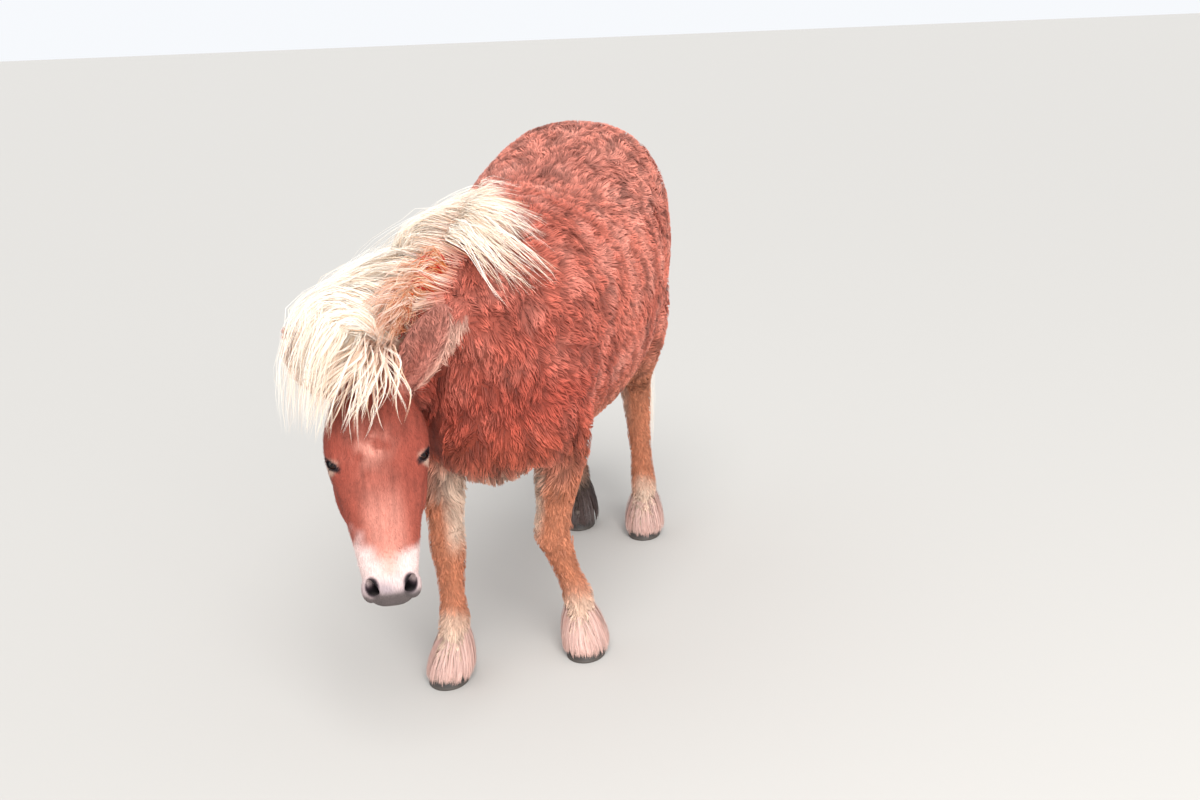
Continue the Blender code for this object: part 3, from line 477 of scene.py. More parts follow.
def edges_of(ring):
    """The edges of a ring once each, in an order that is the same in every run."""
    return list(dict.fromkeys(edge for vert in ring for edge in vert.link_edges))


def close_rings(form, loops):
    """Joins each ring of edges to the next, and closes both ends."""
    for lower, upper in zip(loops, loops[1:]):
        bmesh.ops.bridge_loops(form, edges=lower + upper)
    for loop in (loops[0], loops[-1]):
        bmesh.ops.edgeloop_fill(form, edges=loop)


def add_loft(form, rows, count, sides=28, roundness=2.0, place=Matrix()):
    """Adds a closed tube through rings, each a centre, a half width across x, and two half depths."""
    rows = smooth_rows(rows, count)
    centres = [Vector(row[:3]) for row in rows]
    loops = []
    for i, row in enumerate(rows):
        tangent = (centres[min(i + 1, count - 1)] - centres[max(i - 1, 0)]).normalized()
        side = Vector((1, 0, 0))
        side = (side - tangent * tangent.dot(side)).normalized()
        depth = tangent.cross(side)
        ring = bmesh.ops.create_circle(form, segments=sides, radius=1)["verts"]
        for k, vert in enumerate(ring):
            angle = 2 * math.pi * k / sides
            right = power(math.cos(angle), 2 / roundness) * row[3]
            reach = power(math.sin(angle), 2 / roundness) * (row[4] if k < sides / 2 else row[5])
            vert.co = place @ (centres[i] + side * right + depth * reach)
        loops.append(edges_of(ring))
    close_rings(form, loops)


def add_ball(form, centre, radii, turn=Matrix(), place=Matrix(), rings=16):
    matrix = place @ Matrix.Translation(centre) @ turn @ Matrix.Diagonal((*radii, 1))
    bmesh.ops.create_uvsphere(form, u_segments=2 * rings, v_segments=rings, radius=1, matrix=matrix)


def ball(name, centre, radii, turn=Matrix(), place=Matrix(), rings=16):
    form = bmesh.new()
    add_ball(form, centre, radii, turn, place, rings)
    return object_from(form, name)


def add_pair(form, centre, radii, lean, sway=0.0):
    for side in (1, -1):
        place = (side * centre[0] - sway, centre[1], centre[2])
        add_ball(form, place, radii, turned(lean, "X"))


def add_trunk(form):
    rows = []
    for y, mid, top, low, wide in TRUNK:
        sway = SWAY * float(step(y, SWAY_FROM, SWAY_TO))
        rows.append((-sway, y, mid, wide, top - mid, mid - low))
    add_loft(form, rows, 50, sides=56, roundness=2.3)
    add_ball(form, *CHEST)
    add_ball(form, *NECK_BASE)
    add_pair(form, *SHOULDER)
    add_pair(form, *HAUNCH, SWAY)
    add_pair(form, *BREAST)


def add_legs(form):
    for name, joints in LEGS.items():
        rows = []
        girths = FORE_GIRTHS if name.startswith("fore") else HIND_GIRTHS
        for bone, along, wide, front, back in girths:
            place = Vector(joints[bone]).lerp(Vector(joints[bone + 1]), along)
            rows.append((*place, wide, front, back))
        add_loft(form, rows, 44, sides=28)


def add_head(form):
    rows = [(0, -t, mid, wide, out - mid, mid - jaw) for t, wide, mid, out, jaw in SKULL]
    add_loft(form, rows, 56, sides=48, roundness=2.35, place=HEAD)
    for place, radii in (CHIN, LIPS):
        add_ball(form, on_head(*place), radii, place=HEAD)
    lid = EYE_RADIUS + LID_THICKNESS
    for side in (1, -1):
        for place, radii, lean, axis in (JOWL, BROW, CHEEKBONE, NOSTRIL_FLESH, EAR_ROOT):
            add_ball(form, on_side(place, side), radii, turned(side * lean, axis), HEAD)
        add_ball(form, on_side(EYE, side), (lid, lid, lid), place=HEAD)


def add_ear(form, side):
    """A cupped leaf that opens forwards and outwards, its wall thin and closed."""
    base = on_side(EAR_BASE, side)
    tip = base.lerp(on_side(EAR_TIP, side), 1 if side > 0 else RIGHT_EAR_SHARE)
    up = (tip - base).normalized()
    opening = on_side(EAR_OPENING, side)
    opening = (opening - up * up.dot(opening)).normalized()
    wide = up.cross(opening).normalized()
    rounds = 16
    loops = []
    for along, share, reach in smooth_rows(EAR_SHAPE, 22):
        half = EAR_HALF_WIDTH * share
        reach = math.radians(reach)
        radius = half / math.sin(min(reach, math.pi / 2))
        wall = min(EAR_WALL, 0.45 * half)
        middle = base.lerp(tip, along) + opening * (radius - 0.25 * half)
        ring = bmesh.ops.create_circle(form, segments=2 * (rounds + 1), radius=1)["verts"]
        for k, vert in enumerate(ring):
            inner = k > rounds
            turn = 2 * rounds + 1 - k if inner else k
            angle = reach * (2 * turn / rounds - 1)
            across = wide * math.sin(angle) - opening * math.cos(angle)
            vert.co = HEAD @ (middle + across * (radius - wall if inner else radius))
        loops.append(edges_of(ring))
    close_rings(form, loops)


def in_head(points):
    """Which points belong to the head, in front of the plane behind the poll."""
    left, down, out = head_places(points)
    facing = np.array(Vector(HEAD_CUT_FACING).normalized())
    cut = np.array((HEAD_CUT[0], -HEAD_CUT[1], HEAD_CUT[2]))
    local = np.stack([left, -down, out], -1)
    ahead = (local - cut) @ facing < 0
    aside, end, behind = HEAD_REACH
    near = (np.abs(left) < aside) & (down < end) & (out > behind)
    beside = (np.abs(left) > BESIDE_JAW[0]) & (out < BESIDE_JAW[1])
    return ahead & near & ~beside


def coat_depth(points):
    """How far the skin lies under the outside of the coat."""
    z = points[:, 2]
    depth = LEG_DEPTH + BODY_MORE * step(z, 0.30, 0.50)
    depth = depth + FOOT_MORE * (1 - step(z, 0.095, 0.13))
    _, down, out = head_places(points)
    face = FACE_DEPTH + JAW_MORE * np.maximum(1 - step(down, -0.03, 0.09), 1 - step(out, -0.21, -0.16))
    face = np.where(in_head(points), face, depth)
    return face + (EAR_DEPTH - face) * near_ear(points)


def near_ear(points):
    """1 on the ears, falling to 0 a little way off them."""
    left, down, out = head_places(points)
    local = np.stack([np.abs(left), down, out], -1)
    base, tip = np.array(EAR_BASE), np.array(EAR_TIP)
    start = base + 0.22 * (tip - base)
    along = np.clip((local - start) @ (tip - start) / ((tip - start) @ (tip - start)), 0, 1)
    apart = np.linalg.norm(local - start - along[:, None] * (tip - start), axis=1)
    return 1 - step(apart, 0.046, 0.060)


def ear_places(points):
    """Shares of an ear's length and half width, and the way forwards from its axis, at each place."""
    left, down, out = head_places(points)
    base = np.array(on_head(*EAR_BASE))
    axis = np.array(on_head(*EAR_TIP)) - base
    up = unit(axis)
    opening = np.array(on_head(*EAR_OPENING))
    opening = unit(opening - up * (up @ opening))
    local = np.stack([np.abs(left), -down, out], -1) - base
    along = local @ up / np.linalg.norm(axis)
    heights, shares, _ = np.array(EAR_SHAPE).T
    half = EAR_HALF_WIDTH * np.interp(along, heights, shares)
    return along, local @ np.cross(up, opening) / half, local @ opening


def ear_margin(points):
    """1 along the outer edges of the ears, whose hair is longer and paler."""
    _, across, forwards = ear_places(points)
    return near_ear(points) * step(across, 0.66, 1.0) * step(forwards, -0.018, -0.010)


def read_places(thing):
    places = np.empty(len(thing.data.vertices) * 3)
    thing.data.vertices.foreach_get("co", places)
    return places.reshape(-1, 3)


def read_normals(thing):
    normals = np.empty(len(thing.data.vertices) * 3)
    thing.data.vertex_normals.foreach_get("vector", normals)
    return normals.reshape(-1, 3)


def inset(thing):
    """Moves a mesh's surface in by the depth of the coat."""
    places = read_places(thing)
    places = places - read_normals(thing) * coat_depth(places)[:, None]
    thing.data.vertices.foreach_set("co", places.ravel())
    thing.data.update()


def skin_arrays(thing):
    """Places, unit normals and triangles of a settled mesh, in the axes that the animal is built in."""
    mesh = thing.data
    mesh.calc_loop_triangles()
    corners = np.empty(len(mesh.loop_triangles) * 3, int)
    mesh.loop_triangles.foreach_get("vertices", corners)
    return read_places(thing) - np.array(SHIFT), read_normals(thing), corners.reshape(-1, 3)


def skin_tree(thing):
    """The skin without its ears, for finding the way out of it."""
    places, _, corners = skin_arrays(thing)
    corners = corners[ear_part(places[corners[:, 0]]) == 0]
    return BVHTree.FromPolygons([Vector(p) for p in places], corners.tolist())


def waves(points, size, seed, terms=7):
    """A smooth random field from about -1 to 1 that changes over a size in metres."""
    draw = np.random.default_rng(seed)
    total = np.zeros(len(points))
    for _ in range(terms):
        way = unit(draw.normal(size=3)) * 2 * math.pi / (size * draw.uniform(1.4, 3.2))
        total += np.sin(points @ way + draw.uniform(0, 2 * math.pi))
    return total / math.sqrt(terms / 1.4)


def leg_of(points):
    """The nearest leg of each point, as a number in the order of LEGS."""
    soles = np.array([joints[-1][:2] for joints in LEGS.values()])
    return np.argmin(np.linalg.norm(points[:, None, :2] - soles[None], axis=2), axis=1)


def markings(points):
    """The coat's colour at each place, as linear numbers, with a painted sheen on the back and painted shade
    at the breast.
    """
    look = bpy.context.scene.pony_coat
    chestnut, deep, light, leg, cream, mud = paints(look, "chestnut", "deep", "light", "legs", "cream", "mud")
    _, y, z = points.T
    colour = mix(chestnut, deep, np.clip(0.30 + 0.35 * waves(points, 0.10, 3), 0, 1) * 0.55)
    colour = mix(colour, light, np.clip(0.15 + 0.5 * waves(points, 0.045, 4), 0, 1) * 0.5)
    # Painted sheen: the top of the back and the rump are made paler, where the light from above falls on
    # them.
    colour = mix(colour, light, step(z, *BACK_SHEEN_HEIGHTS) * step(y, *BACK_SHEEN_PLACES) * 0.35)
    colour = mix(colour, leg, (1 - step(z, *LEG_HEIGHTS)) * 0.9)
    # Painted shade on the breast and the lower front of the neck, which are turned away from the light above.
    front = (1 - step(y, *BREAST_PLACES)) * (1 - 0.55 * step(z, *BREAST_HIGH)) * step(z, *BREAST_LOW)
    colour = colour * (1 - front[:, None] * np.array(BREAST_SHADE))
    number = leg_of(points)
    inner = step(inner_side(points, number), 0.002, 0.028) * np.where(number < 2, 0.85, 0.45)
    colour = mix(colour, cream, inner * step(z, *CREAM_LOW) * (1 - step(z, *CREAM_HIGH)))
    feet = 1 - step(z + 0.012 * waves(points, 0.03, 5), *FOOT_HEIGHTS)
    colour = mix(colour, cream, feet * 0.92)
    muddy = (number == 3) * (1 - step(z + 0.02 * waves(points, 0.05, 6), *MUD_HEIGHTS))
    colour = mix(colour, mud, muddy * 0.9)
    fringe = (1 - step(z, 0.44, 0.53)) * step(z, 0.40, 0.43) * (1 - step(y, -0.36, -0.28))
    colour = mix(colour, cream, fringe * 0.25)
    own = in_head(points) | ((near_ear(points) > 0.5) & (ear_places(points)[2] > -0.016))
    return np.where(own[:, None], face_markings(points, look), colour)


def inner_side(points, number):
    """How far each place lies from the middle line of its leg, towards the opposite leg."""
    made = np.zeros(len(points))
    for i, joints in enumerate(LEGS.values()):
        across, _, heights = np.array(joints[::-1]).T
        here = number == i
        middle = np.interp(points[here, 2], heights, across)
        made[here] = (middle - points[here, 0]) * np.sign(across[0])
    return made


def face_markings(points, look):
    """The colour of the head and ears at each place, as linear numbers, with painted shade on the sides of
    the face, in the hollows of the ears and deep in the nostrils.
    """
    chestnut, deep, light, cream, white = paints(look, "chestnut", "deep", "light", "cream", "white")
    left, down, out = head_places(points)
    local = np.stack([left, down, out], -1)
    colour = mix(chestnut, deep, 0.65 + np.clip(0.15 * waves(points, 0.05, 8), -0.15, 0.25))
    # Painted shade on the sides of the face, which turn away from the light.
    colour = mix(colour, deep, step(np.abs(left), 0.045, 0.085) * 0.40)
    colour = mix(colour, light, near_ear(points) * 0.55)
    bridge = step(down, *BRIDGE_DOWN) * (1 - step(np.abs(left), 0.015, 0.050))
    colour = mix(colour, light, bridge * 0.60)
    brow = 1 - step(down, *BROW_DOWN)
    colour = mix(colour, deep, brow * 0.45) * (0.80 - 0.12 * brow)[:, None]
    along, across, _ = ear_places(points)
    # Painted shade in the hollow of each ear, low in its middle.
    cup_shade = near_ear(points) * (1 - step(np.abs(across), 0.0, 0.6)) * (1 - step(along, 0.45, 0.80))
    colour = mix(colour, light, near_ear(points) * 0.30)
    colour = mix(colour, deep, cup_shade * 0.40)
    colour = mix(colour, mix(light, cream, 0.6), ear_margin(points) * 0.75)
    apart = ((left - STAR[0]) / STAR_SIZE[0]) ** 2 + ((down - STAR[1]) / STAR_SIZE[1]) ** 2
    star = np.exp(-apart) * step(out, -0.02, 0.0)
    colour = mix(colour, light, star * np.clip(0.65 + 0.5 * waves(points, 0.014, 13), 0.1, 1) * 0.75)
    streaks = waves(np.stack([4.5 * left, down, 3.0 * out], -1), 0.026, 14)
    colour = colour * (1 + np.clip(0.16 * streaks, -0.22, 0.16) * (0.45 + 0.55 * brow))[:, None]
    side = np.sign(left + 1e-9)
    lid = np.linalg.norm(local - twins(EYE, side), axis=1)
    colour = mix(colour, deep, step(lid, 0.024, 0.034) * (1 - step(lid, 0.040, 0.064)) * 0.45)
    colour = mix(colour, cream, (1 - step(lid, 0.0215, 0.028)) * 0.55)
    edge = down + 0.008 * waves(points, 0.02, 9) + 0.85 * np.abs(left) - 0.20 * left
    colour = mix(colour, white, step(edge, *MUZZLE_DOWN))
    middle = np.exp(-((left / 0.018) ** 2)) * step(down, 0.30, 0.32) * (1 - step(down, 0.350, 0.368))
    colour = mix(colour, light, middle * 0.55 * step(out, -0.04, -0.02))
    apart = local - twins(NOSTRIL, side)
    deep_in = np.minimum(apart[:, 2], 0)
    apart = apart - np.stack([side * 0.67 * deep_in, 0 * deep_in, 0.8 * deep_in], -1)
    hole = np.linalg.norm(apart * (1.15, 0.80, 0.9), axis=1)
    grey = step(down, *GREY_DOWN) * (0.75 + 0.25 * waves(points, 0.02, 10))
    nose, nostril, lip = paints(look, "nose", "nostril", "lip")
    colour = mix(colour, nose, np.clip(grey, 0, 1) * 0.75)
    colour = mix(colour, nostril, (1 - step(hole, 0.0115, 0.0165)) * 0.95)
    # Painted shade: the middle of each nostril is darkened almost to black, deep in its pit.
    colour = colour * (1 - 0.92 * (1 - step(hole, 0.0095, 0.0140)))[:, None]
    lower = step(down, *LIP_DOWN) * (1 - step(out, -0.036, -0.024))
    colour = mix(colour, lip, lower * 0.85)
    return mix(colour, nostril * 0.25, eye_rim(points))


def twins(place, side):
    """A place on the head for each point, on the side that its sign says."""
    left, down, out = place
    return np.stack([side * left, np.full(len(side), down), np.full(len(side), out)], -1)


def eye_rim(points):
    """The dark bare edge of the lids, and the socket inside them."""
    dark = np.zeros(len(points))
    for side in (1, -1):
        local = eye_places(points, side)
        slit = np.hypot(local[:, 0] / SLIT[0], local[:, 1] / SLIT[1])
        near = (np.linalg.norm(local, axis=1) < 0.030) & (local[:, 2] > 0)
        dark = np.maximum(dark, (1 - step(slit, 1.15, 1.75)) * near)
        dark = np.maximum(dark, np.linalg.norm(local, axis=1) < EYE_RADIUS + 0.0012)
    return dark


def eye_places(points, side):
    """Places from the middle of an eye: along its slit, across it, and out of it."""
    facing = turned(side * EYE_FACING, "Y").to_3x3()
    slant = turned(side * EYE_SLANT, "Z").to_3x3()
    return (points - np.array(HEAD @ on_side(EYE, side))) @ np.array(HEAD.to_3x3() @ facing @ slant)


def paints(look, *names):
    """The named colours of a group of settings, as linear numbers."""
    return [np.array(getattr(look, name)) for name in names]


def set_colour(mesh, colours, name="tint"):
    """Stores a linear colour on each vertex."""
    layer = mesh.color_attributes.new(name, "FLOAT_COLOR", "POINT")
    values = np.ones((len(mesh.vertices), 4), np.float32)
    values[:, :3] = colours
    layer.data.foreach_set("color", values.ravel())


def declare(thing, slot, *nodes):
    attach(thing, "root")
    if nodes:
        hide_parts(*nodes)


def build_skin():
    """Body and head as one closed skin under the coat, with lids, nostrils and mouth cut."""
    form = bmesh.new()
    add_trunk(form)
    add_loft(form, NECK, 30, sides=40, roundness=2.1)
    add_legs(form)
    skin = object_from(form, "skin")
    remesh(skin, BODY_VOXEL, 12)
    inset(skin)

    form = bmesh.new()
    add_head(form)
    throat = [(x, y, z, *(0.985 * half for half in halves)) for x, y, z, *halves in NECK[2:]]
    add_loft(form, throat, 24, sides=40, roundness=2.1)
    for side in (1, -1):
        add_ear(form, side)
    head = object_from(form, "head_skin")
    remesh(head, HEAD_VOXEL, 5)
    inset(head)
    cut_eyes(head)
    cut_muzzle(head)
    boolean(skin, head, "UNION")
    floor = bmesh.new()
    low = Matrix.Translation((0, 0, HOOF_HEIGHT - 0.020 - 0.5))
    bmesh.ops.create_cube(floor, size=1, matrix=low @ Matrix.Diagonal((2, 2, 1, 1)))
    boolean(skin, object_from(floor, "floor_cut"), "DIFFERENCE")
    thinned = skin.modifiers.new("thinned", "DECIMATE")
    thinned.ratio = SKIN_KEPT
    return apply_modifiers(skin)


def cut_eyes(head):
    for side in (1, -1):
        centre = on_side(EYE, side)
        room = EYE_RADIUS + 0.0004
        boolean(head, ball("socket", centre, (room, room, room), place=HEAD, rings=24), "DIFFERENCE")
        turn = turned(side * EYE_FACING, "Y") @ turned(side * EYE_SLANT, "Z")
        outward = turned(side * EYE_FACING, "Y") @ Vector((0, 0, EYE_RADIUS + LID_THICKNESS))
        slit = ball("slit", centre + outward, SLIT, turn, HEAD, rings=24)
        boolean(head, slit, "DIFFERENCE")


def cut_muzzle(head):
    """Opens the nostrils and draws the line of the mouth."""
    for side in (1, -1):
        turn = turned(side * -24, "Z") @ turned(side * 34, "Y")
        pit = ball("pit", on_side(NOSTRIL, side), NOSTRIL_PIT, turn, HEAD, rings=20)
        boolean(head, pit, "DIFFERENCE")
    form = bmesh.new()
    bmesh.ops.create_circle(form, cap_ends=True, segments=48, radius=1)
    bmesh.ops.solidify(form, geom=form.faces[:], thickness=0.05)
    middle = Matrix.Translation(on_head(*MOUTH))
    form.transform(HEAD @ middle @ Matrix.Diagonal((*MOUTH_OUTSIDE, 1)))
    groove = object_from(form, "groove")
    boolean(groove, ball("inner", on_head(*MOUTH), MOUTH_INSIDE, place=HEAD), "DIFFERENCE")
    boolean(head, groove, "DIFFERENCE")


def scatter(skin, count, seed, wanted, crowd=None):
    """Random places on the skin, each with its normal, where wanted says so and as dense as crowd."""
    places, normals, corners = skin
    a, b, c = (places[corners[:, i]] for i in range(3))
    area = np.linalg.norm(np.cross(b - a, c - a), axis=1) / 2
    middle = (a + b + c) / 3
    weight = area * wanted(middle)
    if crowd is not None:
        weight = weight * crowd(middle)
    draw = np.random.default_rng(seed)
    picked = draw.choice(len(corners), count, p=weight / weight.sum())
    u, v = draw.random((2, count, 1))
    flip = u + v > 1
    u, v = np.where(flip, 1 - u, u), np.where(flip, 1 - v, v)
    spots = a[picked] * (1 - u - v) + b[picked] * u + c[picked] * v
    na, nb, nc = (normals[corners[picked, i]] for i in range(3))
    return spots, unit(na * (1 - u - v) + nb * u + nc * v)


def lie(points, normals):
    """The way that the coat lies, along the skin."""
    way = np.tile(np.array((0.0, 0.80, -0.72)), (len(points), 1))
    _, y, z = points.T
    low = 1 - step(z, 0.42, 0.58)
    way = way * (1 - low[:, None]) + np.array((0, 0.18, -1.0)) * low[:, None]
    front = 1 - step(y, -0.42, -0.25)
    way = way * (1 - 0.6 * front[:, None]) + np.array((0, 0.12, -1.0)) * 0.6 * front[:, None]
    left, _, _ = head_places(points)
    local = np.stack([0.9 * left / 0.09, -np.ones(len(points)), -0.35 * np.ones(len(points))], -1)
    ears = near_ear(points) > 0.5
    up = np.array(on_head(*EAR_TIP)) - np.array(on_head(*EAR_BASE))
    local = np.where(ears[:, None], up * np.stack([np.sign(left), *(2 * [np.ones(len(left))])], -1), local)
    on_face = unit(local) @ HEAD_ARRAY[:3, :3].T
    way = np.where(in_head(points)[:, None], on_face, way)
    way = way - normals * np.sum(way * normals, axis=1, keepdims=True)
    return unit(way)


def swirl(points, normals, ways, degrees, size, seed):
    """Turns directions along the skin by a smooth random angle."""
    angle = np.radians(degrees) * waves(points, size, seed)
    side = np.cross(normals, ways)
    return ways * np.cos(angle)[:, None] + side * np.sin(angle)[:, None]


def blades(paths, sides, tops, widths, thick, tip_share=0.0):
    """Closed three-sided hairs along paths of shape (count, places, 3), as vertices and triangles.

    A hair's way, its top and its side turn like the fingers of a right hand.
    """
    count, places, _ = paths.shape
    rings = places - 1
    share = 1 - (np.arange(rings) / rings) ** 1.6 * (1 - tip_share)
    wide = widths[:, None, None] * share[None, :, None]
    high = thick[:, None, None] * share[None, :, None]
    body = paths[:, :-1]
    ring = np.stack([body + sides * wide, body - sides * wide, body + tops * high], axis=2)
    verts = np.concatenate([ring.reshape(count, rings * 3, 3), paths[:, -1:]], axis=1)
    faces = [(2, 1, 0)]
    for k in range(rings - 1):
        for i in range(3):
            j = (i + 1) % 3
            faces.append((3 * k + i, 3 * k + j, 3 * k + 3 + j))
            faces.append((3 * k + i, 3 * k + 3 + j, 3 * k + 3 + i))
    for i in range(3):
        faces.append((3 * rings - 3 + i, 3 * rings - 3 + (i + 1) % 3, 3 * rings))
    each = rings * 3 + 1
    index = np.array(faces)[None] + (np.arange(count) * each)[:, None, None]
    return verts.reshape(-1, 3), index.reshape(-1, 3), each


def joined(name, verts, faces, colours, roots, each, covering):
    """A mesh from arrays, with a colour on each vertex and a small patch of the unwrap on each hair."""
    mesh = bpy.data.meshes.new(name)
    mesh.vertices.add(len(verts))
    mesh.vertices.foreach_set("co", verts.ravel())
    mesh.loops.add(faces.size)
    mesh.loops.foreach_set("vertex_index", faces.ravel().astype(np.int32))
    mesh.polygons.add(len(faces))
    mesh.polygons.foreach_set("loop_start", np.arange(0, faces.size, 3, dtype=np.int32))
    mesh.update(calc_edges=True)
    layer = mesh.uv_layers.new(name="OFBake")
    spread = np.arange(each) / each
    patch = np.stack([spread * PATCH, (np.arange(each) % 3) * PATCH / 3], -1)
    uv = np.repeat(unwrap(roots), each, axis=0) + np.tile(patch, (len(roots), 1))
    layer.data.foreach_set("uv", uv[faces.ravel()].ravel())
    made = bpy.data.objects.new(name, mesh)
    bpy.context.scene.collection.objects.link(made)
    finish(made, colours, covering, smooth=False)
    return made


def unwrap(roots):
    """Roots laid out flat: the trunk, head and each leg are each unrolled round their own axis."""
    x, y, z = roots.T
    around = np.arctan2(x + SWAY, z - 0.74) / (2 * math.pi) + 0.5
    flat = np.stack([0.02 + 0.46 * np.clip((y + 0.75) / 1.45, 0, 1), 0.52 + 0.45 * around], -1)
    number = leg_of(roots)
    soles = np.array([joints[-1][:2] for joints in LEGS.values()])[number]
    turn = np.arctan2(x - soles[:, 0], y - soles[:, 1] - 0.02) / (2 * math.pi) + 0.5
    leg = np.stack([0.02 + 0.24 * number + 0.21 * turn, 0.02 + 0.45 * np.clip(z / 0.6, 0, 1)], -1)
    flat = np.where((z < 0.42)[:, None], leg, flat)
    left, down, out = head_places(roots)
    turn = np.arctan2(left, out + 0.09) / (2 * math.pi) + 0.5
    head = np.stack([0.52 + 0.45 * np.clip((down + 0.1) / 0.55, 0, 1), 0.52 + 0.45 * turn], -1)
    return np.where(in_head(roots)[:, None], head, flat)


def tufts(name, skin, region, seed):
    """One piece of the coat: short hairs in clumps that follow its lie and stand as deep as it, with painted
    shade at their roots and in the clefts between clumps.
    """
    look = bpy.context.scene.pony_coat
    draw = np.random.default_rng(seed)
    count = round(region["count"] * look.density)
    spots, normals = scatter(skin, count, seed, region["where"], region.get("crowd"))
    ways = swirl(spots, normals, lie(spots, normals), *region["swirl"], seed=11)
    heads = max(count // region["clump"], 8)
    centres, _ = scatter(skin, heads, seed + 1, region["where"], region.get("crowd"))
    tree = kdtree.KDTree(heads)
    for i, spot in enumerate(centres * region["grain"]):
        tree.insert(spot, i)
    tree.balance()
    found = [tree.find(spot) for spot in spots * region["grain"]]
    owner = np.array([index for _, index, _ in found])
    apart = np.array([distance for _, _, distance in found])
    # Painted shade in the clefts: hairs far from their clump's middle are darkened.
    cleft = region["cleft"] * step(apart / (1.6 * np.median(apart)), 0.45, 1.1)
    lengths = region["length"](spots) * draw.uniform(0.75, 1.15, heads)[owner]
    lengths = lengths * draw.uniform(0.8, 1.15, count)
    lifts = coat_depth(spots) * draw.uniform(0.80, 1.18, heads)[owner]
    lifts = lifts * draw.uniform(0.75, 1.1, count) + region["stand"]
    turn = np.radians(region["stray"]) * (draw.normal(size=heads)[owner] + 0.5 * draw.normal(size=count))
    side = np.cross(normals, ways)
    ways = ways * np.cos(turn)[:, None] + side * np.sin(turn)[:, None]
    side = np.cross(normals, ways)
    phase = draw.uniform(0, 2 * math.pi, heads)[owner]
    gather = (centres[owner] - spots) * region["gather"]
    gather = gather - normals * np.sum(gather * normals, axis=1, keepdims=True)
    places = region["places"]
    paths = np.empty((count, places, 3))
    for k in range(places):
        s = k / (places - 1)
        rise = math.sin(0.5 * math.pi * min(1, 1.25 * s)) - 0.18 * s**3
        curl = region["curl"] * math.sin(0.5 * math.pi * s)
        bend = curl * np.sin(phase + 3.6 * s)
        paths[:, k] = (
            spots
            - normals * 0.001 * (1 - s)
            + ways * (lengths * s)[:, None]
            + normals * (lifts * rise)[:, None]
            + side * bend[:, None]
            + gather * s
        )
    paths[:, :, 2] = np.maximum(paths[:, :, 2], FLOOR_CLEAR)
    widths = region["wide"] * draw.uniform(0.7, 1.25, count)
    verts, faces, each = blades(paths, -side[:, None], normals[:, None], widths, 0.45 * widths)
    tone = 1 + 0.12 * draw.normal(size=heads)[owner] + 0.09 * draw.normal(size=count)
    tone = np.clip(tone, 0.55, 1.5) * (1 - cleft)
    base = markings(spots) * tone[:, None]
    along = np.repeat(np.arange(places - 1) / (places - 1), 3)
    along = np.append(along, 1.0)
    # Painted shade at the roots of the hairs, fading out up their length.
    shade = region["root"] + (1 - region["root"]) * step(along, 0, 0.6)
    colours = base[:, None] * shade[None, :, None]
    pale = step(along, 0.5, 1.0)[None, :, None] * 0.18
    colours = colours * (1 - pale) + np.minimum(colours * 1.6 + 0.02, 1) * pale
    return joined(name, verts, faces, colours.reshape(-1, 3), spots, each, "winter_coat_hair")


def trunk_part(low, high, side=0):
    """Says which places are on a length of the trunk, on one side of it or both."""

    def wanted(points):
        x, y, z = points.T
        inside = (y >= low) & (y < high) & (z >= 0.40) & ~in_head(points) & (near_ear(points) < 0.5)
        if side:
            inside &= (x + SWAY * step(y, SWAY_FROM, SWAY_TO)) * side >= 0
        return inside.astype(float)

    return wanted


def leg_part(numbers):
    def wanted(points):
        return ((points[:, 2] < 0.40) & np.isin(leg_of(points), numbers) & ~in_head(points)).astype(float)

    return wanted


def face_part(points):
    _, down, out = head_places(points)
    bare = (down > BARE_FROM) | ((down > 0.32) & (out < -0.055))
    return (in_head(points) & (near_ear(points) < 0.5) & ~bare).astype(float)


def ear_part(points):
    return (near_ear(points) >= 0.5).astype(float)


def trunk_length(points):
    _, y, z = points.T
    belly = 1 - step(z, 0.46, 0.58)
    neck = 1 - step(y, -0.45, -0.25)
    return 0.019 + 0.007 * belly + 0.001 * neck


def leg_length(points):
    z = points[:, 2]
    return 0.010 + 0.010 * step(z, 0.30, 0.42) + 0.008 * (1 - step(z, 0.09, 0.16))


def face_length(points):
    _, down, out = head_places(points)
    jaw = 1 - step(out, -0.19, -0.12)
    muzzle = step(down, 0.30, 0.35)
    long = 0.006 + 0.010 * (1 - step(down, 0.0, 0.12)) + 0.012 * jaw * (1 - step(down, 0.2, 0.30))
    return long * (1 - 0.5 * muzzle)


def face_crowd(points):
    _, down, _ = head_places(points)
    return 1 - 0.70 * step(down, 0.32, 0.37)


def ear_length(points):
    return 0.013 + 0.013 * ear_margin(points)


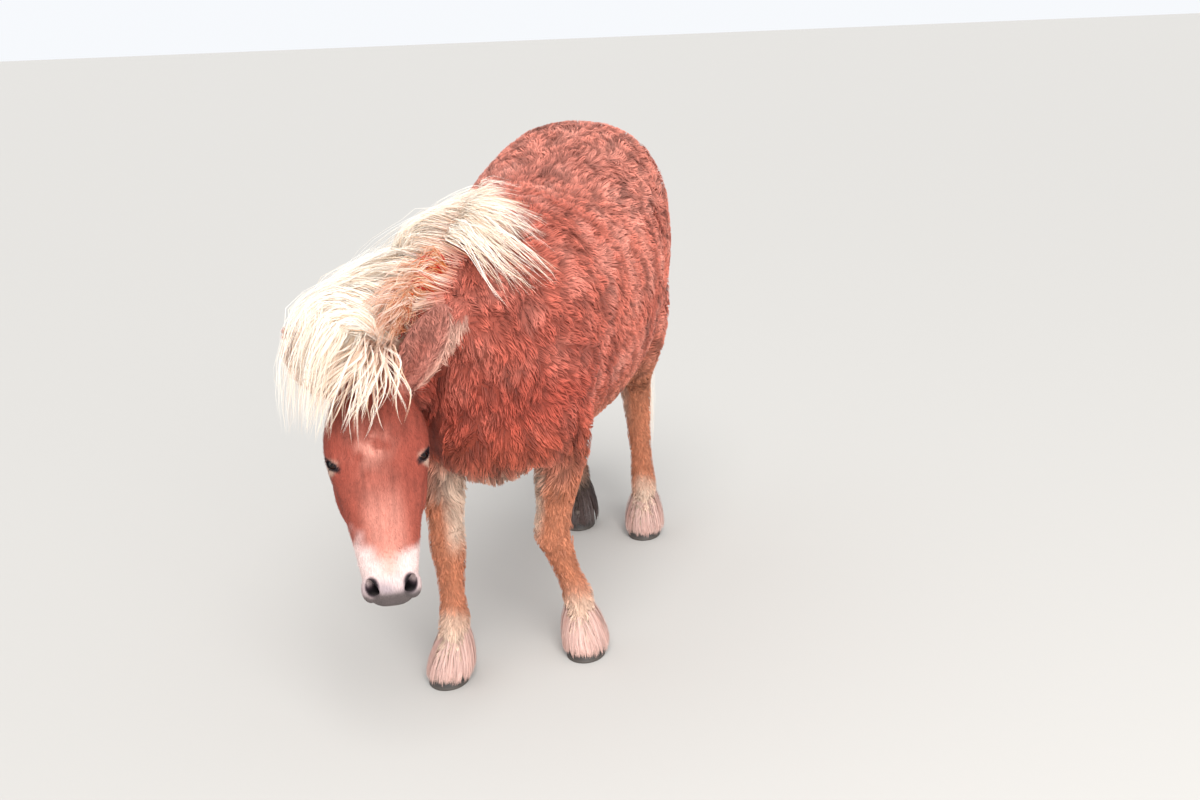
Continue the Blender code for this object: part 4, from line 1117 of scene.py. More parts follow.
# What each piece of the coat says: how many hairs it has and how many go to a clump, how a clump is drawn
# out, and how dark the painted shade in the clefts between clumps is. Then a hair's length and how far it
# stands off, how its way swirls, in degrees over a size, and strays in degrees. Then how far it gathers to
# the clump's middle and curls, how many places it has, its half width, and how much colour it keeps at the
# root, where shade is painted.
BODY_COAT = {
    "clump": 15,
    "grain": np.array((1.5, 1.0, 0.8)),
    "cleft": 0.42,
    "length": trunk_length,
    "stand": 0.0005,
    "swirl": (30, 0.055),
    "stray": 9,
    "gather": 0.50,
    "curl": 0.0022,
    "places": 3,
    "wide": 0.0014,
    "root": ROOT_SHADE,
}
RUMP_COAT = BODY_COAT | {
    "count": 16000,
    "clump": 13,
    "cleft": 0.5,
    "stand": 0.0012,
    "swirl": (66, 0.040),
    "curl": 0.0046,
    "wide": 0.0015,
}
LEG_COAT = BODY_COAT | {
    "count": 9500,
    "clump": 9,
    "grain": np.array((1.0, 1.0, 0.6)),
    "cleft": 0.25,
    "length": leg_length,
    "stand": 0.0003,
    "swirl": (8, 0.05),
    "stray": 6,
    "gather": 0.4,
    "curl": 0.0010,
    "wide": 0.0010,
    "root": 0.80,
}
FACE_COAT = LEG_COAT | {
    "where": face_part,
    "crowd": face_crowd,
    "count": 15000,
    "cleft": 0.06,
    "length": face_length,
    "stand": 0.0005,
    "gather": 0.15,
    "curl": 0.0004,
    "wide": 0.0004,
    "root": 0.94,
}
EAR_COAT = LEG_COAT | {
    "where": ear_part,
    "count": 7000,
    "length": ear_length,
    "stand": 0.0035,
    "stray": 14,
    "wide": 0.0009,
}
COAT = {
    "coat_neck": BODY_COAT | {"where": trunk_part(-1, -0.25), "count": 16000, "swirl": (18, 0.06)},
    "coat_barrel_left": BODY_COAT | {"where": trunk_part(-0.25, 0.18, 1), "count": 16000},
    "coat_barrel_right": BODY_COAT | {"where": trunk_part(-0.25, 0.18, -1), "count": 16000},
    "coat_quarter_left": RUMP_COAT | {"where": trunk_part(0.18, 1, 1)},
    "coat_quarter_right": RUMP_COAT | {"where": trunk_part(0.18, 1, -1)},
    "coat_forelegs": LEG_COAT | {"where": leg_part((0, 1))},
    "coat_hindlegs": LEG_COAT | {"where": leg_part((2, 3))},
    "coat_face": FACE_COAT,
    "coat_ears": EAR_COAT,
}


def guide_paths(guides, places, count):
    """Smooth paths between the guides, one for each place from 0 to 1."""
    guides = np.array(guides, float)
    at = np.clip(places, 0, 1) * (len(guides) - 1)
    i = np.minimum(at.astype(int), len(guides) - 2)
    share = (at - i)[:, None, None]
    rows = guides[i] * (1 - share) + guides[i + 1] * share
    flat = rows.transpose(1, 0, 2).reshape(rows.shape[1], -1)
    made = smooth_rows(flat, count)
    return made.reshape(count, len(places), 3).transpose(1, 0, 2)


def off_skin(paths, tree, clear, heights, closeness):
    """Lifts paths clear of the skin and then by their own heights, and gives the skin's normals.

    The roots stay in the skin, and a closeness under 1 draws a path in towards it.
    """
    normals = np.empty_like(paths)
    made = paths.copy()
    rooted = (1 - step(np.linspace(0, 1, paths.shape[1]), 0, 0.24)) ** 1.5
    for i in range(paths.shape[0]):
        for k in range(paths.shape[1]):
            point = Vector(paths[i, k])
            near, normal, _, _ = tree.find_nearest(point)
            depth = (point - near).dot(normal)
            rise = max(clear[i, k] - depth, 0) + heights[i, k]
            free = np.array(point + normal * rise)
            nearest = np.array(near + normal * clear[i, k])
            if (free - nearest) @ np.array(normal) > 0:
                free = nearest + (free - nearest) * closeness[i]
            made[i, k] = free + (np.array(near - normal * 0.004) - free) * rooted[k]
            normals[i, k] = normal
    return made, normals


def lock_paths(guides, tree, settings, draw):
    """Middle lines of locks that run between the guides and lie on the coat in layers."""
    locks, count = settings["locks"], settings["places"]
    along = np.linspace(0, 1, count)
    paths = guide_paths(guides, draw.random(locks) ** settings.get("crowd", 1.0), 24)
    share = draw.uniform(*settings["share"], locks)
    paths = along_path(paths, along[None] * share[:, None])
    layer = draw.random(locks)
    aside = settings.get("root_wide", 0) * draw.random(locks) ** 1.3
    fade = (1 - np.clip(along / 0.45, 0, 1)) ** 2
    paths = paths + np.array(ROOTS_ASIDE) * aside[:, None, None] * fade[None, :, None]
    full = np.sin(0.5 * math.pi * np.clip(along / 0.22, 0, 1)) * (1 - 0.55 * along**1.5)
    heights = settings["depth"] * layer[:, None] * full[None]
    clear = np.tile(settings["clear"] * np.clip(along / 0.12, 0, 1), (locks, 1)) + COAT_OVER
    closeness = 1 - settings.get("fill", 0.75) * draw.random(locks) ** 1.6
    paths, normals = off_skin(paths, tree, clear, heights, closeness)
    layer = layer * closeness
    warmth = np.clip(0.35 + 1.1 * aside / 0.07 + 0.5 * (1 - layer), 0, 1)
    return paths, normals, layer, warmth


def along_path(paths, at):
    """Reads each path at its own shares of its length."""
    last = paths.shape[1] - 1
    at = np.clip(at, 0, 1) * last
    low = np.minimum(at.astype(int), last - 1)
    rest = (at - low)[:, :, None]
    rows = np.arange(len(paths))[:, None]
    return paths[rows, low] * (1 - rest) + paths[rows, low + 1] * rest


def tail_paths(settings, draw):
    """Middle lines of locks all round the tail, from its dock to its tips."""
    locks, count = settings["locks"], settings["places"]
    middle = np.tile(smooth_rows(TAIL, 40)[None], (locks, 1, 1))
    layer = draw.random(locks)
    start = draw.uniform(0.0, 0.50, locks)
    end = draw.uniform(0.78, 1.0, locks)
    along = np.linspace(0, 1, count)
    at = start[:, None] + (end - start)[:, None] * along[None]
    angle = draw.uniform(0, 2 * math.pi, locks)
    out = np.stack([np.cos(angle), 0.65 * np.sin(angle), np.zeros(locks)], -1)
    spread = TAIL_SPREAD * np.sqrt(layer)[:, None] * np.sin(math.pi * np.clip(0.10 + 0.80 * at, 0, 1))
    paths = along_path(middle, at) + out[:, None] * spread[:, :, None]
    normals = np.tile(unit(out)[:, None], (1, count, 1))
    return paths, normals, layer, 1 - layer


def feather_paths(joints, settings, draw):
    """Middle lines of locks from the pastern down over the hoof, longest behind."""
    locks, count = settings["locks"], settings["places"]
    fetlock, sole = np.array(joints[3]), np.array(joints[4])
    angle = draw.uniform(0, 2 * math.pi, locks)
    layer = draw.random(locks)
    out = np.stack([np.sin(angle), np.cos(angle), np.zeros(locks)], -1)
    behind = 0.5 + 0.5 * np.cos(angle)
    down = (0.46 - 0.46 * behind) * draw.uniform(0.5, 1.3, locks)
    top = fetlock + (sole - fetlock) * down[:, None]
    low = sole + np.array((0, 0, 1)) * (FEATHER_LOW + draw.uniform(-0.004, 0.010, locks))[:, None]
    ledge = HOOF_HALF_LENGTH + (HOOF_HALF_WIDTH - HOOF_HALF_LENGTH) * np.sin(angle) ** 2
    full = ledge + 0.001 + 0.007 * behind
    reach = np.stack([0 * behind + 0.024, 0.90 * ledge + 0.004 * behind, full, full], -1)
    shares = (0, 0.40, 0.75, 1)
    rows = [top + (low - top) * share + out * reach[:, k, None] for k, share in enumerate(shares)]
    flat = np.stack(rows).reshape(len(shares), -1)
    paths = smooth_rows(flat, count).reshape(count, locks, 3).transpose(1, 0, 2)
    normals = np.tile(out[:, None], (1, count, 1))
    return paths, normals, layer, 1 - layer


def fringe_paths(tree, settings, draw):
    """Middle lines of the longer hair that hangs from the brisket and the elbows."""
    locks, count = settings["locks"], settings["places"]
    paths = np.empty((locks, count, 3))
    normals = np.empty((locks, count, 3))
    for i in range(locks):
        place = draw.uniform(-1, 1)
        x = 1.15 * FRINGE_REACH * math.sin(0.5 * math.pi * place)
        y = FRINGE_FROM + draw.uniform(-0.030, 0.075) + 0.06 * abs(place)
        spot, normal, _, _ = tree.ray_cast(Vector((x, y, 0.2)), Vector((0, 0, 1)))
        way = Vector((0.15 * x, 0.35, -1)).normalized()
        length = FRINGE_LENGTH * draw.uniform(0.7, 1.2)
        for k in range(count):
            along = k / (count - 1)
            paths[i, k] = spot - normal * 0.004 + way * length * along + Vector((0, 0.010, 0)) * along**2
            normals[i, k] = Vector((x, -0.2, 0)).normalized()
    layer = draw.random(locks)
    return paths, normals, layer, 1 - layer


def hairs(name, lines, settings, draw):
    """Long hair in locks: the hairs of each lock run along its line and draw together to its tip."""
    paths, normals, layer, warmth = lines
    locks, count, _ = paths.shape
    along = np.linspace(0, 1, count)
    ways = unit(np.gradient(paths, axis=1))
    side = unit(np.cross(ways, normals))
    beat = draw.uniform(0, 2 * math.pi, locks)[:, None]
    wander = settings["wave"] * np.sin(beat + along[None] * settings["beats"] * 2 * math.pi)
    drift = settings["drift"] * draw.normal(size=locks)[:, None] * along[None]
    paths = paths + side * ((wander * np.clip(along * 3, 0, 1)) + drift)[:, :, None]
    owner = np.repeat(np.arange(locks), settings["hairs"])
    total = len(owner)
    spread = draw.normal(size=(total, 2)) * settings["spread"]
    close = 1 - settings["draw"] * along
    frizz = settings["frizz"] * draw.normal(size=(total, 2))
    beat = draw.uniform(0, 2 * math.pi, (total, 1))
    ripple = np.sin(beat + along[None] * 2 * math.pi * draw.uniform(0.8, 2.2, (total, 1))) * along[None]
    over = np.abs(spread[:, 1, None] * close[None]) + frizz[:, 1, None] * ripple
    across = spread[:, 0, None] * close[None] + frizz[:, 0, None] * ripple
    hair = paths[owner] + side[owner] * across[:, :, None] + normals[owner] * over[:, :, None]
    hair = along_path(hair, along[None] * draw.uniform(settings.get("trim", 0.72), 1, total)[:, None])
    sides, tops = side[owner][:, :-1], normals[owner][:, :-1]
    return finish_hair(name, hair, sides, tops, layer[owner], warmth[owner], settings, draw)


def finish_hair(name, hair, side, tops, layer, warmth, settings, draw):
    """Gives long hairs their widths and colours: the coat's own, or flaxen with warm roots and gold ones,
    with painted shade on the lower layers.
    """
    total, count, _ = hair.shape
    hair[:, :, 2] = np.maximum(hair[:, :, 2], FLOOR_CLEAR)
    look = bpy.context.scene.pony_hair
    widths = settings["wide"] * look.thickness * draw.uniform(0.6, 1.3, total)
    verts, faces, each = blades(hair, side, tops, widths, 0.55 * widths, 0.25)
    along = np.append(np.repeat(np.arange(count - 1) / (count - 1), 3), 1.0)
    flaxen, pale, gold, root = paints(look, "flaxen", "pale", "gold", "root")
    if settings.get("own"):
        base = markings(hair[:, 2]) * draw.uniform(0.92, 1.08, total)[:, None] * np.array(settings["own"])
        mixed = np.repeat(base[:, None], len(along), axis=1)
    else:
        tone = np.clip(0.35 + 0.5 * layer + 0.30 * draw.normal(size=total), 0, 1)
        base = mix(flaxen, pale, tone)
        warm = np.clip(warmth + 0.20 * draw.normal(size=total), 0, 1)[:, None]
        warm = warm * (settings["warm"] * (1 - step(along, 0.0, settings["warm_to"])))[None]
        mixed = base[:, None] * (1 - warm[:, :, None]) + root * warm[:, :, None]
        golden = ((draw.random(total) < 0.30 * (1.3 - layer)) * draw.uniform(0.3, 0.8, total))[:, None, None]
        mixed = mixed * (1 - golden) + gold * golden
        (coat,) = paints(bpy.context.scene.pony_coat, "chestnut")
        mixed = mix(mixed, coat, np.tile(0.85 * (1 - step(along, 0.0, 0.10)), (total, 1)))
    # Painted shade: the hairs of the lower layers, under the others, are darker.
    shade = (0.86 + 0.14 * layer)[:, None, None] * draw.uniform(0.90, 1.08, total)[:, None, None]
    return joined(name, verts, faces, (mixed * shade).reshape(-1, 3), hair[:, 0], each, "flaxen_long_hair")


# What each kind of long hair says: the hairs of a lock, their places, the share of the guides' length
# that locks run, how deep they lie over each other and how far off the coat. Then how a lock waves, how
# often, and drifts. Then how its hairs spread, draw together to the tip and frizz, and their half width.
# Then how much of the warm colour the roots have, and how far down.
STRANDS = {
    "hairs": 8,
    "places": 10,
    "share": (0.66, 1.08),
    "depth": 0.042,
    "clear": 0.004,
    "wave": 0.010,
    "beats": 1.1,
    "drift": 0.018,
    "spread": 0.0070,
    "draw": 0.55,
    "frizz": 0.0060,
    "wide": 0.0007,
    "warm": 0.62,
    "warm_to": 0.30,
}
MANE_HAIR = STRANDS | {"locks": 440, "root_wide": 0.070}
PUFF_HAIR = STRANDS | {"locks": 130, "depth": 0.022, "share": (0.55, 1.10), "warm": 0.6, "fill": 0.5}
FORELOCK_HAIR = STRANDS | {
    "locks": 95,
    "hairs": 6,
    "crowd": 1.3,
    "share": (0.55, 1.08),
    "depth": 0.014,
    "fill": 0.7,
    "wave": 0.013,
    "beats": 0.9,
    "spread": 0.0011,
    "draw": 0.5,
    "frizz": 0.0014,
    "wide": 0.0005,
    "warm": 0.9,
    "warm_to": 0.9,
}
POLL_HAIR = STRANDS | {
    "locks": 170,
    "root_wide": 0.012,
    "share": (0.5, 1.1),
    "depth": 0.018,
    "fill": 0.8,
    "spread": 0.0050,
    "draw": 0.4,
    "frizz": 0.0050,
    "warm": 1.6,
    "warm_to": 1.8,
}
TAIL_HAIR = STRANDS | {"locks": 190, "hairs": 7, "warm": 0.5, "warm_to": 0.15, "drift": 0.006}
FEATHER_HAIR = STRANDS | {
    "own": FEATHER_TINT,
    "locks": 150,
    "places": 5,
    "wave": 0.001,
    "drift": 0.003,
    "spread": 0.0036,
    "draw": 0.6,
    "frizz": 0.0010,
    "wide": 0.0010,
    "trim": 0.86,
}
FRINGE_HAIR = FEATHER_HAIR | {"own": FRINGE_TINT, "locks": 40, "spread": 0.0055, "wide": 0.0008}


def add_node(tree, kind, inputs=(), **settings):
    """Adds a node, sets its properties, and sets or links its inputs."""
    node = tree.nodes.new(kind)
    for name, value in settings.items():
        setattr(node, name, value)
    for name, value in inputs:
        if isinstance(value, bpy.types.NodeSocket):
            tree.links.new(value, node.inputs[name])
        else:
            node.inputs[name].default_value = value
    return node


def material(name, roughness, sockets=()):
    """A material whose colour is the mesh's own tint, and the shader to build on."""
    made = bpy.data.materials.new(name)
    made.use_nodes = True
    tree = made.node_tree
    tree.nodes.clear()
    tint = add_node(tree, "ShaderNodeAttribute", attribute_name="tint")
    shader = add_node(tree, "ShaderNodeBsdfPrincipled", [("Roughness", roughness), *sockets])
    tree.links.new(tint.outputs["Color"], shader.inputs["Base Color"])
    output = add_node(tree, "ShaderNodeOutputMaterial")
    tree.links.new(shader.outputs["BSDF"], output.inputs["Surface"])
    return made, tree, tint, shader


def noise(tree, size, detail=3.0, roughness=0.55):
    """A noise whose patches are about that size in metres, from the mesh's own places."""
    place = add_node(tree, "ShaderNodeTexCoord").outputs["Object"]
    inputs = [("Vector", place), ("Scale", 1 / size), ("Detail", detail), ("Roughness", roughness)]
    return add_node(tree, "ShaderNodeTexNoise", inputs).outputs["Fac"]


def flat_hairs(tree):
    """A noise drawn out down the face, with one patch for each fine flat hair."""
    inputs = [
        ("Vector", add_node(tree, "ShaderNodeTexCoord").outputs["Object"]),
        ("Location", POLL + Vector(SHIFT)),
        ("Rotation", HEAD.to_euler()),
        ("Scale", FLAT_HAIR),
    ]
    along = add_node(tree, "ShaderNodeMapping", inputs, vector_type="TEXTURE")
    inputs = [("Vector", along.outputs["Vector"]), ("Scale", 1.0), ("Detail", 2.0), ("Roughness", 0.6)]
    return add_node(tree, "ShaderNodeTexNoise", inputs).outputs["Fac"]


def bump(tree, shader, height, distance):
    made = add_node(tree, "ShaderNodeBump", [("Height", height), ("Distance", distance), ("Strength", 1.0)])
    tree.links.new(made.outputs["Normal"], shader.inputs["Normal"])


def add_materials():
    # Hair of the winter coat: dull, with a soft bloom where it is seen edge on.
    material("winter_coat_hair", 0.60, [("Specular IOR Level", 0.22), ("Sheen Weight", 0.04)])
    # The short flat underfur on the skin, drawn as fine bumps and light and dark hairs.
    _, tree, tint, shader = material("underfur_on_skin", 0.70, [("Specular IOR Level", 0.20)])
    fur = flat_hairs(tree)
    bump(tree, shader, fur, 0.0014)
    shades = [("From Min", 0.32), ("From Max", 0.68), ("To Min", 0.80), ("To Max", 1.14)]
    depth = add_node(tree, "ShaderNodeMapRange", [("Value", fur), *shades]).outputs["Result"]
    inputs = [("Vector", tint.outputs["Color"]), ("Scale", depth)]
    shaded = add_node(tree, "ShaderNodeVectorMath", inputs, operation="SCALE")
    tree.links.new(shaded.outputs["Vector"], shader.inputs["Base Color"])
    # Long hair, smoother than the coat, so that it catches the light in streaks.
    material("flaxen_long_hair", 0.45, [("Specular IOR Level", 0.45), ("Sheen Weight", 0.10)])
    # Hoof horn: dark, dull, and rubbed by the ground.
    _, tree, _, shader = material("hoof_horn", 0.58)
    bump(tree, shader, noise(tree, 0.0022), 0.0004)
    # The eyes: a wet gloss over the colours of ball, iris and pupil.
    material("wet_eye", 0.05, [("Specular IOR Level", 0.25)])


def finish(thing, colours, covering, smooth=True):
    """Gives a mesh its colours and its one material, and moves it to the solids' axes."""
    mesh = thing.data
    set_colour(mesh, colours)
    mesh.materials.clear()
    mesh.materials.append(bpy.data.materials[covering])
    mesh.polygons.foreach_set("material_index", np.zeros(len(mesh.polygons), np.int32))
    if smooth:
        mesh.shade_smooth()
    else:
        mesh.shade_flat()
    mesh.transform(Matrix.Translation(SHIFT))


def add_skin():
    """One skin in the coat's colours, shaded as under hair."""
    skin = build_skin()
    places = read_places(skin)
    shade = UNDER_SHADE + (LEG_SHADE - UNDER_SHADE) * (1 - step(places[:, 2], 0.35, 0.50))
    shade = np.where(in_head(places), HEAD_SHADE, shade)
    finish(skin, markings(places) * shade[:, None], "underfur_on_skin")
    legs = [f"leg_{name}" for name in LEGS]
    declare(skin, "coat", "torso", "neck", "head", "ear_left", "ear_right", *legs)


def add_eye(side, name):
    """A dark ball whose front shows the iris and its level pupil."""
    eye = ball(name, on_side(EYE, side), (EYE_RADIUS,) * 3, place=HEAD, rings=40)
    local = eye_places(read_places(eye), side) / EYE_RADIUS
    dark, brown = paints(bpy.context.scene.pony_eyes_and_hooves, "eye", "iris")
    reach = np.hypot(local[:, 0], local[:, 1])
    iris = (1 - step(reach, 0.72, 0.80)) * (local[:, 2] > 0)
    pupil = 1 - step(np.hypot(local[:, 0] / 0.42, local[:, 1] / 0.24), 0.85, 1.1)
    colour = mix(dark * 0.5, brown, iris)
    colour = mix(colour, dark * 0.2, pupil * iris)
    finish(eye, colour, "wet_eye")
    declare(eye, "eye", name.replace("_ball", ""))


def add_hoof(name, sole):
    """A horn wall that slopes forwards, ringed by its growth, with a rounded ground edge."""
    rows = 26
    form = bmesh.new()
    loops = []
    for i in range(rows):
        height = i / (rows - 1)
        share = 1 - HOOF_TAPER * height + HOOF_RING_DEPTH * math.sin(HOOF_RINGS * 2 * math.pi * height)
        share *= 1 - 0.05 * (1 - min(1, height / 0.08)) ** 2
        back = -0.004 + 0.015 * height
        ring = bmesh.ops.create_circle(form, segments=64, radius=1)["verts"]
        for vert in ring:
            wide, long = vert.co.x, vert.co.y
            groove = 1 - 0.10 * math.exp(-((wide / 0.22) ** 2)) * (long > 0.5)
            vert.co.x = sole[0] + wide * HOOF_HALF_WIDTH * share
            vert.co.y = sole[1] + back + long * HOOF_HALF_LENGTH * share * groove
            vert.co.z = height * HOOF_HEIGHT
        loops.append(edges_of(ring))
    close_rings(form, loops)
    hoof = object_from(form, f"horn_{name}")
    places = read_places(hoof)
    horn, worn = paints(bpy.context.scene.pony_eyes_and_hooves, "hoof", "worn")
    (cream,) = paints(bpy.context.scene.pony_coat, "cream")
    dull = 0.5 + 0.4 * waves(places, 0.02, 21)
    pale = 1 - step(places[:, 2], 0.0, 0.014)
    tip = step(places[:, 2], 0.012, 0.030) * (0.15 if name == "hind_right" else 0.8)
    colour = mix(horn, horn * 2.4, np.clip(dull, 0, 1) * 0.5)
    colour = mix(colour, worn, pale * 0.35)
    colour = mix(colour, cream, tip)
    finish(hoof, colour, "hoof_horn")
    declare(hoof, "horn", f"hoof_{name}")


def paint(name, text, colour):
    return bpy.props.FloatVectorProperty(
        name=name, description=text, subtype="COLOR", size=3, min=0, max=1, default=tuple(linear(colour))
    )


class PonyCoat(bpy.types.PropertyGroup):
    chestnut: paint("Chestnut", "Most of the winter coat", "#D27662")
    # Deep chestnut also paints the shade on the sides of the face and in the hollows of the ears.
    deep: paint("Deep chestnut", "Darker patches of the coat", "#9C4738")
    # Light chestnut also paints the sheen on the top of the back and rump.
    light: paint("Light chestnut", "Paler patches of the coat", "#E8A08E")
    legs: paint("Legs", "Coat of the legs", "#C47E5C")
    cream: paint("Cream", "Feet, inner forelegs and the hair round the eyes", "#E8CCB6")
    white: paint("White", "The muzzle's marking", "#E4C9C3")
    nose: paint("Nose", "Thinly haired skin round the nostrils", "#8E8189")
    nostril: paint("Nostril", "Bare skin in the nostrils", "#3A2833")
    lip: paint("Lip", "The lower lip", "#4E4745")
    mud: paint("Mud", "Mud on the right hind foot", "#302826")
    density: bpy.props.FloatProperty(
        name="Density", description="Share of the coat's full count of hairs", default=1.0, min=0.05, max=2
    )


class PonyHair(bpy.types.PropertyGroup):
    flaxen: paint("Flaxen", "The darker hairs of mane, forelock, tail and feather", "#F8E2C6")
    pale: paint("Pale flaxen", "The palest hairs", "#FFF9EF")
    gold: paint("Peach", "Scattered warmer hairs", "#EDB88C")
    root: paint("Roots", "Hair near the crest", "#CF7C4E")
    thickness: bpy.props.FloatProperty(
        name="Thickness",
        description="Width of the strands, as a share of their usual width",
        default=1.0,
        min=0.4,
        max=3,
        subtype="FACTOR",
    )


class PonyEyesAndHooves(bpy.types.PropertyGroup):
    eye: paint("Eye", "The eye's dark ball", "#120C0A")
    iris: paint("Iris", "The iris", "#2B1710")
    hoof: paint("Hoof", "The horn of the hooves", "#2A2523")
    worn: paint("Worn horn", "Horn at the ground edge", "#6E655C")


class PonyStage(bpy.types.PropertyGroup):
    floor: paint("Floor", "The plain floor", "#BDBAB5")
    key: bpy.props.FloatProperty(
        name="Sun", description="Strength of the soft light from above", default=2.3, min=0
    )
    front: bpy.props.FloatProperty(
        name="Front light", description="Power of the soft light in front", default=105, min=0, unit="POWER"
    )
    sky: bpy.props.FloatProperty(
        name="Surrounding light", description="Strength of the even light from all sides", default=1.0, min=0
    )


class PONY_OT_materials(bpy.types.Operator):
    """Makes the materials of the coat, hair, horn and eyes"""

    bl_idname = "pony.add_materials"
    bl_label = "Add materials"

    def execute(self, context):
        add_materials()
        return {"FINISHED"}


class PONY_OT_skin(bpy.types.Operator):
    """Makes the skin of the body, head, ears and legs in one piece"""

    bl_idname = "pony.add_skin"
    bl_label = "Add skin"

    def execute(self, context):
        add_skin()
        return {"FINISHED"}


class PONY_OT_coat(bpy.types.Operator):
    """Makes the short hair of the winter coat, region by region"""

    bl_idname = "pony.add_coat"
    bl_label = "Add coat"

    def execute(self, context):
        skin = skin_arrays(bpy.data.objects["skin"])
        for number, (name, region) in enumerate(COAT.items()):
            declare(tufts(name, skin, region, 100 + 10 * number), "coat")
        return {"FINISHED"}


class PONY_OT_long_hair(bpy.types.Operator):
    """Makes the mane, its tufts on the crest and behind the poll, the forelock and the tail"""

    bl_idname = "pony.add_long_hair"
    bl_label = "Add mane, forelock and tail"

    def execute(self, context):
        tree = skin_tree(bpy.data.objects["skin"])
        draw = np.random.default_rng(41)
        for name, guides, settings, node in (
            ("mane_hair", MANE, MANE_HAIR, "mane"),
            ("mane_tuft", PUFF, PUFF_HAIR, "mane"),
            ("poll_tuft", POLL_TUFT, POLL_HAIR, "mane"),
            ("forelock_hair", FORELOCK, FORELOCK_HAIR, "forelock"),
        ):
            declare(hairs(name, lock_paths(guides, tree, settings, draw), settings, draw), "long_hair", node)
        declare(hairs("tail_hair", tail_paths(TAIL_HAIR, draw), TAIL_HAIR, draw), "long_hair", "tail")
        return {"FINISHED"}


class PONY_OT_feather(bpy.types.Operator):
    """Makes the feather over the hooves and the fringe under the chest"""

    bl_idname = "pony.add_feather"
    bl_label = "Add feather and fringe"

    def execute(self, context):
        draw = np.random.default_rng(57)
        for name, joints in LEGS.items():
            lines = feather_paths(joints, FEATHER_HAIR, draw)
            declare(hairs(f"feather_{name}", lines, FEATHER_HAIR, draw), "coat")
        tree = skin_tree(bpy.data.objects["skin"])
        lines = fringe_paths(tree, FRINGE_HAIR, draw)
        declare(hairs("chest_fringe", lines, FRINGE_HAIR, draw), "coat")
        return {"FINISHED"}


class PONY_OT_eyes(bpy.types.Operator):
    """Makes both eyes"""

    bl_idname = "pony.add_eyes"
    bl_label = "Add eyes"

    def execute(self, context):
        add_eye(1, "eye_left_ball")
        add_eye(-1, "eye_right_ball")
        return {"FINISHED"}


class PONY_OT_hooves(bpy.types.Operator):
    """Makes the four hooves"""

    bl_idname = "pony.add_hooves"
    bl_label = "Add hooves"

    def execute(self, context):
        for name, joints in LEGS.items():
            add_hoof(name, joints[-1])
        return {"FINISHED"}


class PONY_OT_stage(bpy.types.Operator):
    """Makes the floor, the lights and the photo's camera"""

    bl_idname = "pony.add_stage"
    bl_label = "Add stage"

    def execute(self, context):
        look = context.scene.pony_stage
        form = bmesh.new()
        bmesh.ops.create_grid(form, x_segments=1, y_segments=1, size=60)
        floor = object_from(form, "stage_floor")
        made = bpy.data.materials.new("studio_floor")
        made.use_nodes = True
        shader = made.node_tree.nodes["Principled BSDF"]
        shader.inputs["Base Color"].default_value = (*look.floor, 1)
        shader.inputs["Roughness"].default_value = 0.9
        floor.data.materials.append(made)
        sun = add_light("stage_sun", "SUN", SUN_PLACE, SUN_WIDTH, look.key)
        front = add_light("stage_front", "AREA", FRONT_PLACE, FRONT_WIDTH, look.front)
        world = bpy.data.worlds.new("stage_world")
        world.use_nodes = True
        ground = world.node_tree.nodes["Background"]
        ground.inputs["Color"].default_value = (*SKY_COLOUR, 1)
        ground.inputs["Strength"].default_value = look.sky
        context.scene.world = world
        context.scene.view_settings.view_transform = "Standard"
        add_camera()
        return {"FINISHED"}


def add_light(name, kind, place, size, strength):
    """A soft light that faces the pony: a wide disc, or a sun with a wide face."""
    data = bpy.data.lights.new(name, kind)
    data.energy = strength
    if kind == "SUN":
        data.angle = size
    else:
        data.shape = "DISK"
        data.size = size
    light = bpy.data.objects.new(name, data)
    light.location = place
    light.rotation_euler = (Vector(LIT_PLACE) - Vector(place)).to_track_quat("-Z", "Y").to_euler()
    bpy.context.scene.collection.objects.link(light)
    return light


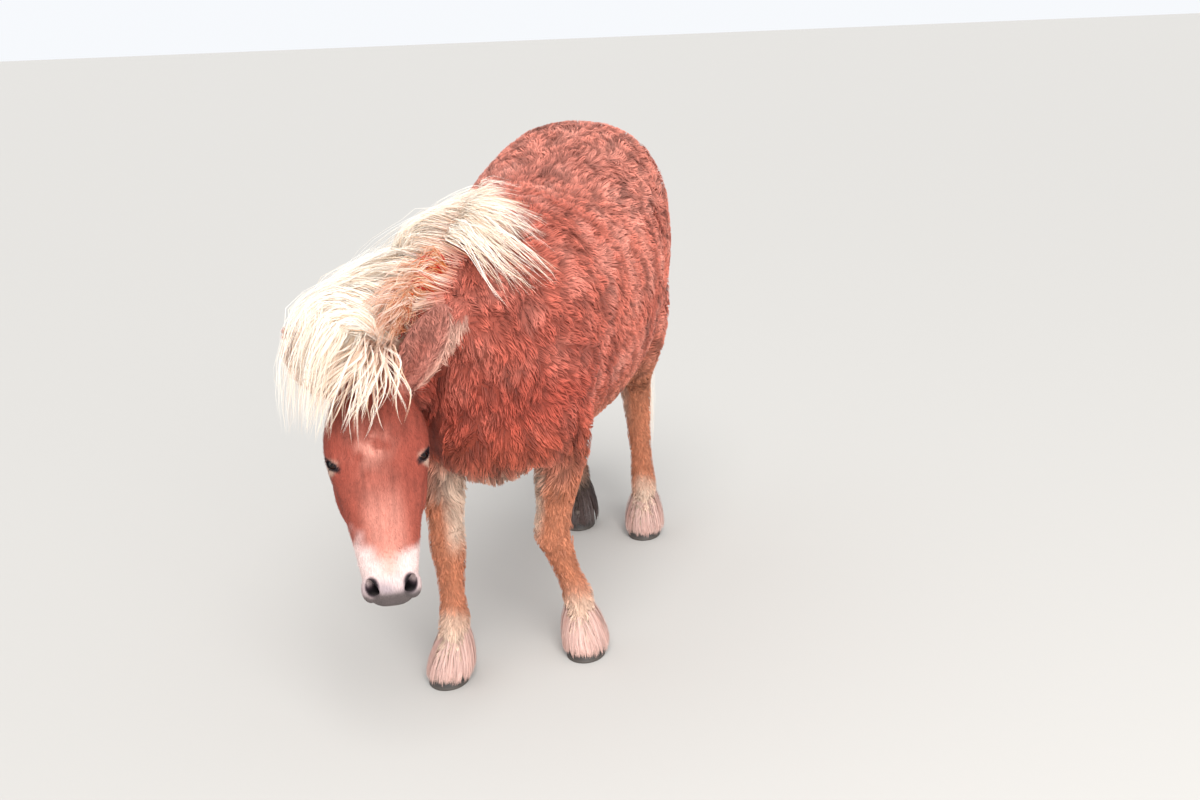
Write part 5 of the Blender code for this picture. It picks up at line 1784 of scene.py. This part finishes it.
def add_camera():
    """The photo's camera: its place, direction and lens."""
    yaw, pitch = CAMERA_YAW, CAMERA_PITCH
    forward = Vector((-math.sin(yaw) * math.cos(pitch), math.cos(yaw) * math.cos(pitch), -math.sin(pitch)))
    level = Vector((math.cos(yaw), math.sin(yaw), 0))
    over = level.cross(forward)
    right = level * math.cos(CAMERA_ROLL) + over * math.sin(CAMERA_ROLL)
    up = over * math.cos(CAMERA_ROLL) - level * math.sin(CAMERA_ROLL)
    data = bpy.data.cameras.new("photo_camera")
    data.lens = CAMERA_LENS
    data.sensor_width = 36
    camera = bpy.data.objects.new("photo_camera", data)
    matrix = Matrix((right, up, -forward)).transposed().to_4x4()
    camera.matrix_world = Matrix.Translation(CAMERA_PLACE + SHIFT) @ matrix
    bpy.context.scene.collection.objects.link(camera)
    bpy.context.scene.camera = camera
    return camera


class PONY_PT_panel(bpy.types.Panel):
    """Lists the pony's pieces and their settings"""

    bl_label = "Shetland pony"
    bl_idname = "PONY_PT_panel"
    bl_space_type = "VIEW_3D"
    bl_region_type = "UI"
    bl_category = "Pony"

    def draw(self, context):
        for group in GROUPS:
            box = self.layout.box()
            settings = getattr(context.scene, group)
            for name in settings.bl_rna.properties.keys():
                if name not in ("rna_type", "name"):
                    box.prop(settings, name)
        for operator in OPERATORS:
            self.layout.operator(operator.bl_idname)


GROUPS = {
    "pony_coat": PonyCoat,
    "pony_hair": PonyHair,
    "pony_eyes_and_hooves": PonyEyesAndHooves,
    "pony_stage": PonyStage,
}
OPERATORS = (
    PONY_OT_materials,
    PONY_OT_skin,
    PONY_OT_coat,
    PONY_OT_long_hair,
    PONY_OT_feather,
    PONY_OT_eyes,
    PONY_OT_hooves,
    PONY_OT_stage,
)


def register():
    for made in (*GROUPS.values(), *OPERATORS, PONY_PT_panel):
        bpy.utils.register_class(made)
    for name, group in GROUPS.items():
        setattr(bpy.types.Scene, name, bpy.props.PointerProperty(type=group))


def unregister():
    for name in GROUPS:
        delattr(bpy.types.Scene, name)
    for made in reversed((*GROUPS.values(), *OPERATORS, PONY_PT_panel)):
        bpy.utils.unregister_class(made)


def main():
    register()
    bpy.context.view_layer.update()
    bpy.ops.pony.add_materials()
    bpy.ops.pony.add_skin()
    bpy.ops.pony.add_coat()
    bpy.ops.pony.add_long_hair()
    bpy.ops.pony.add_feather()
    bpy.ops.pony.add_eyes()
    bpy.ops.pony.add_hooves()
    bpy.ops.pony.add_stage()


if __name__ == "__main__":
    main()
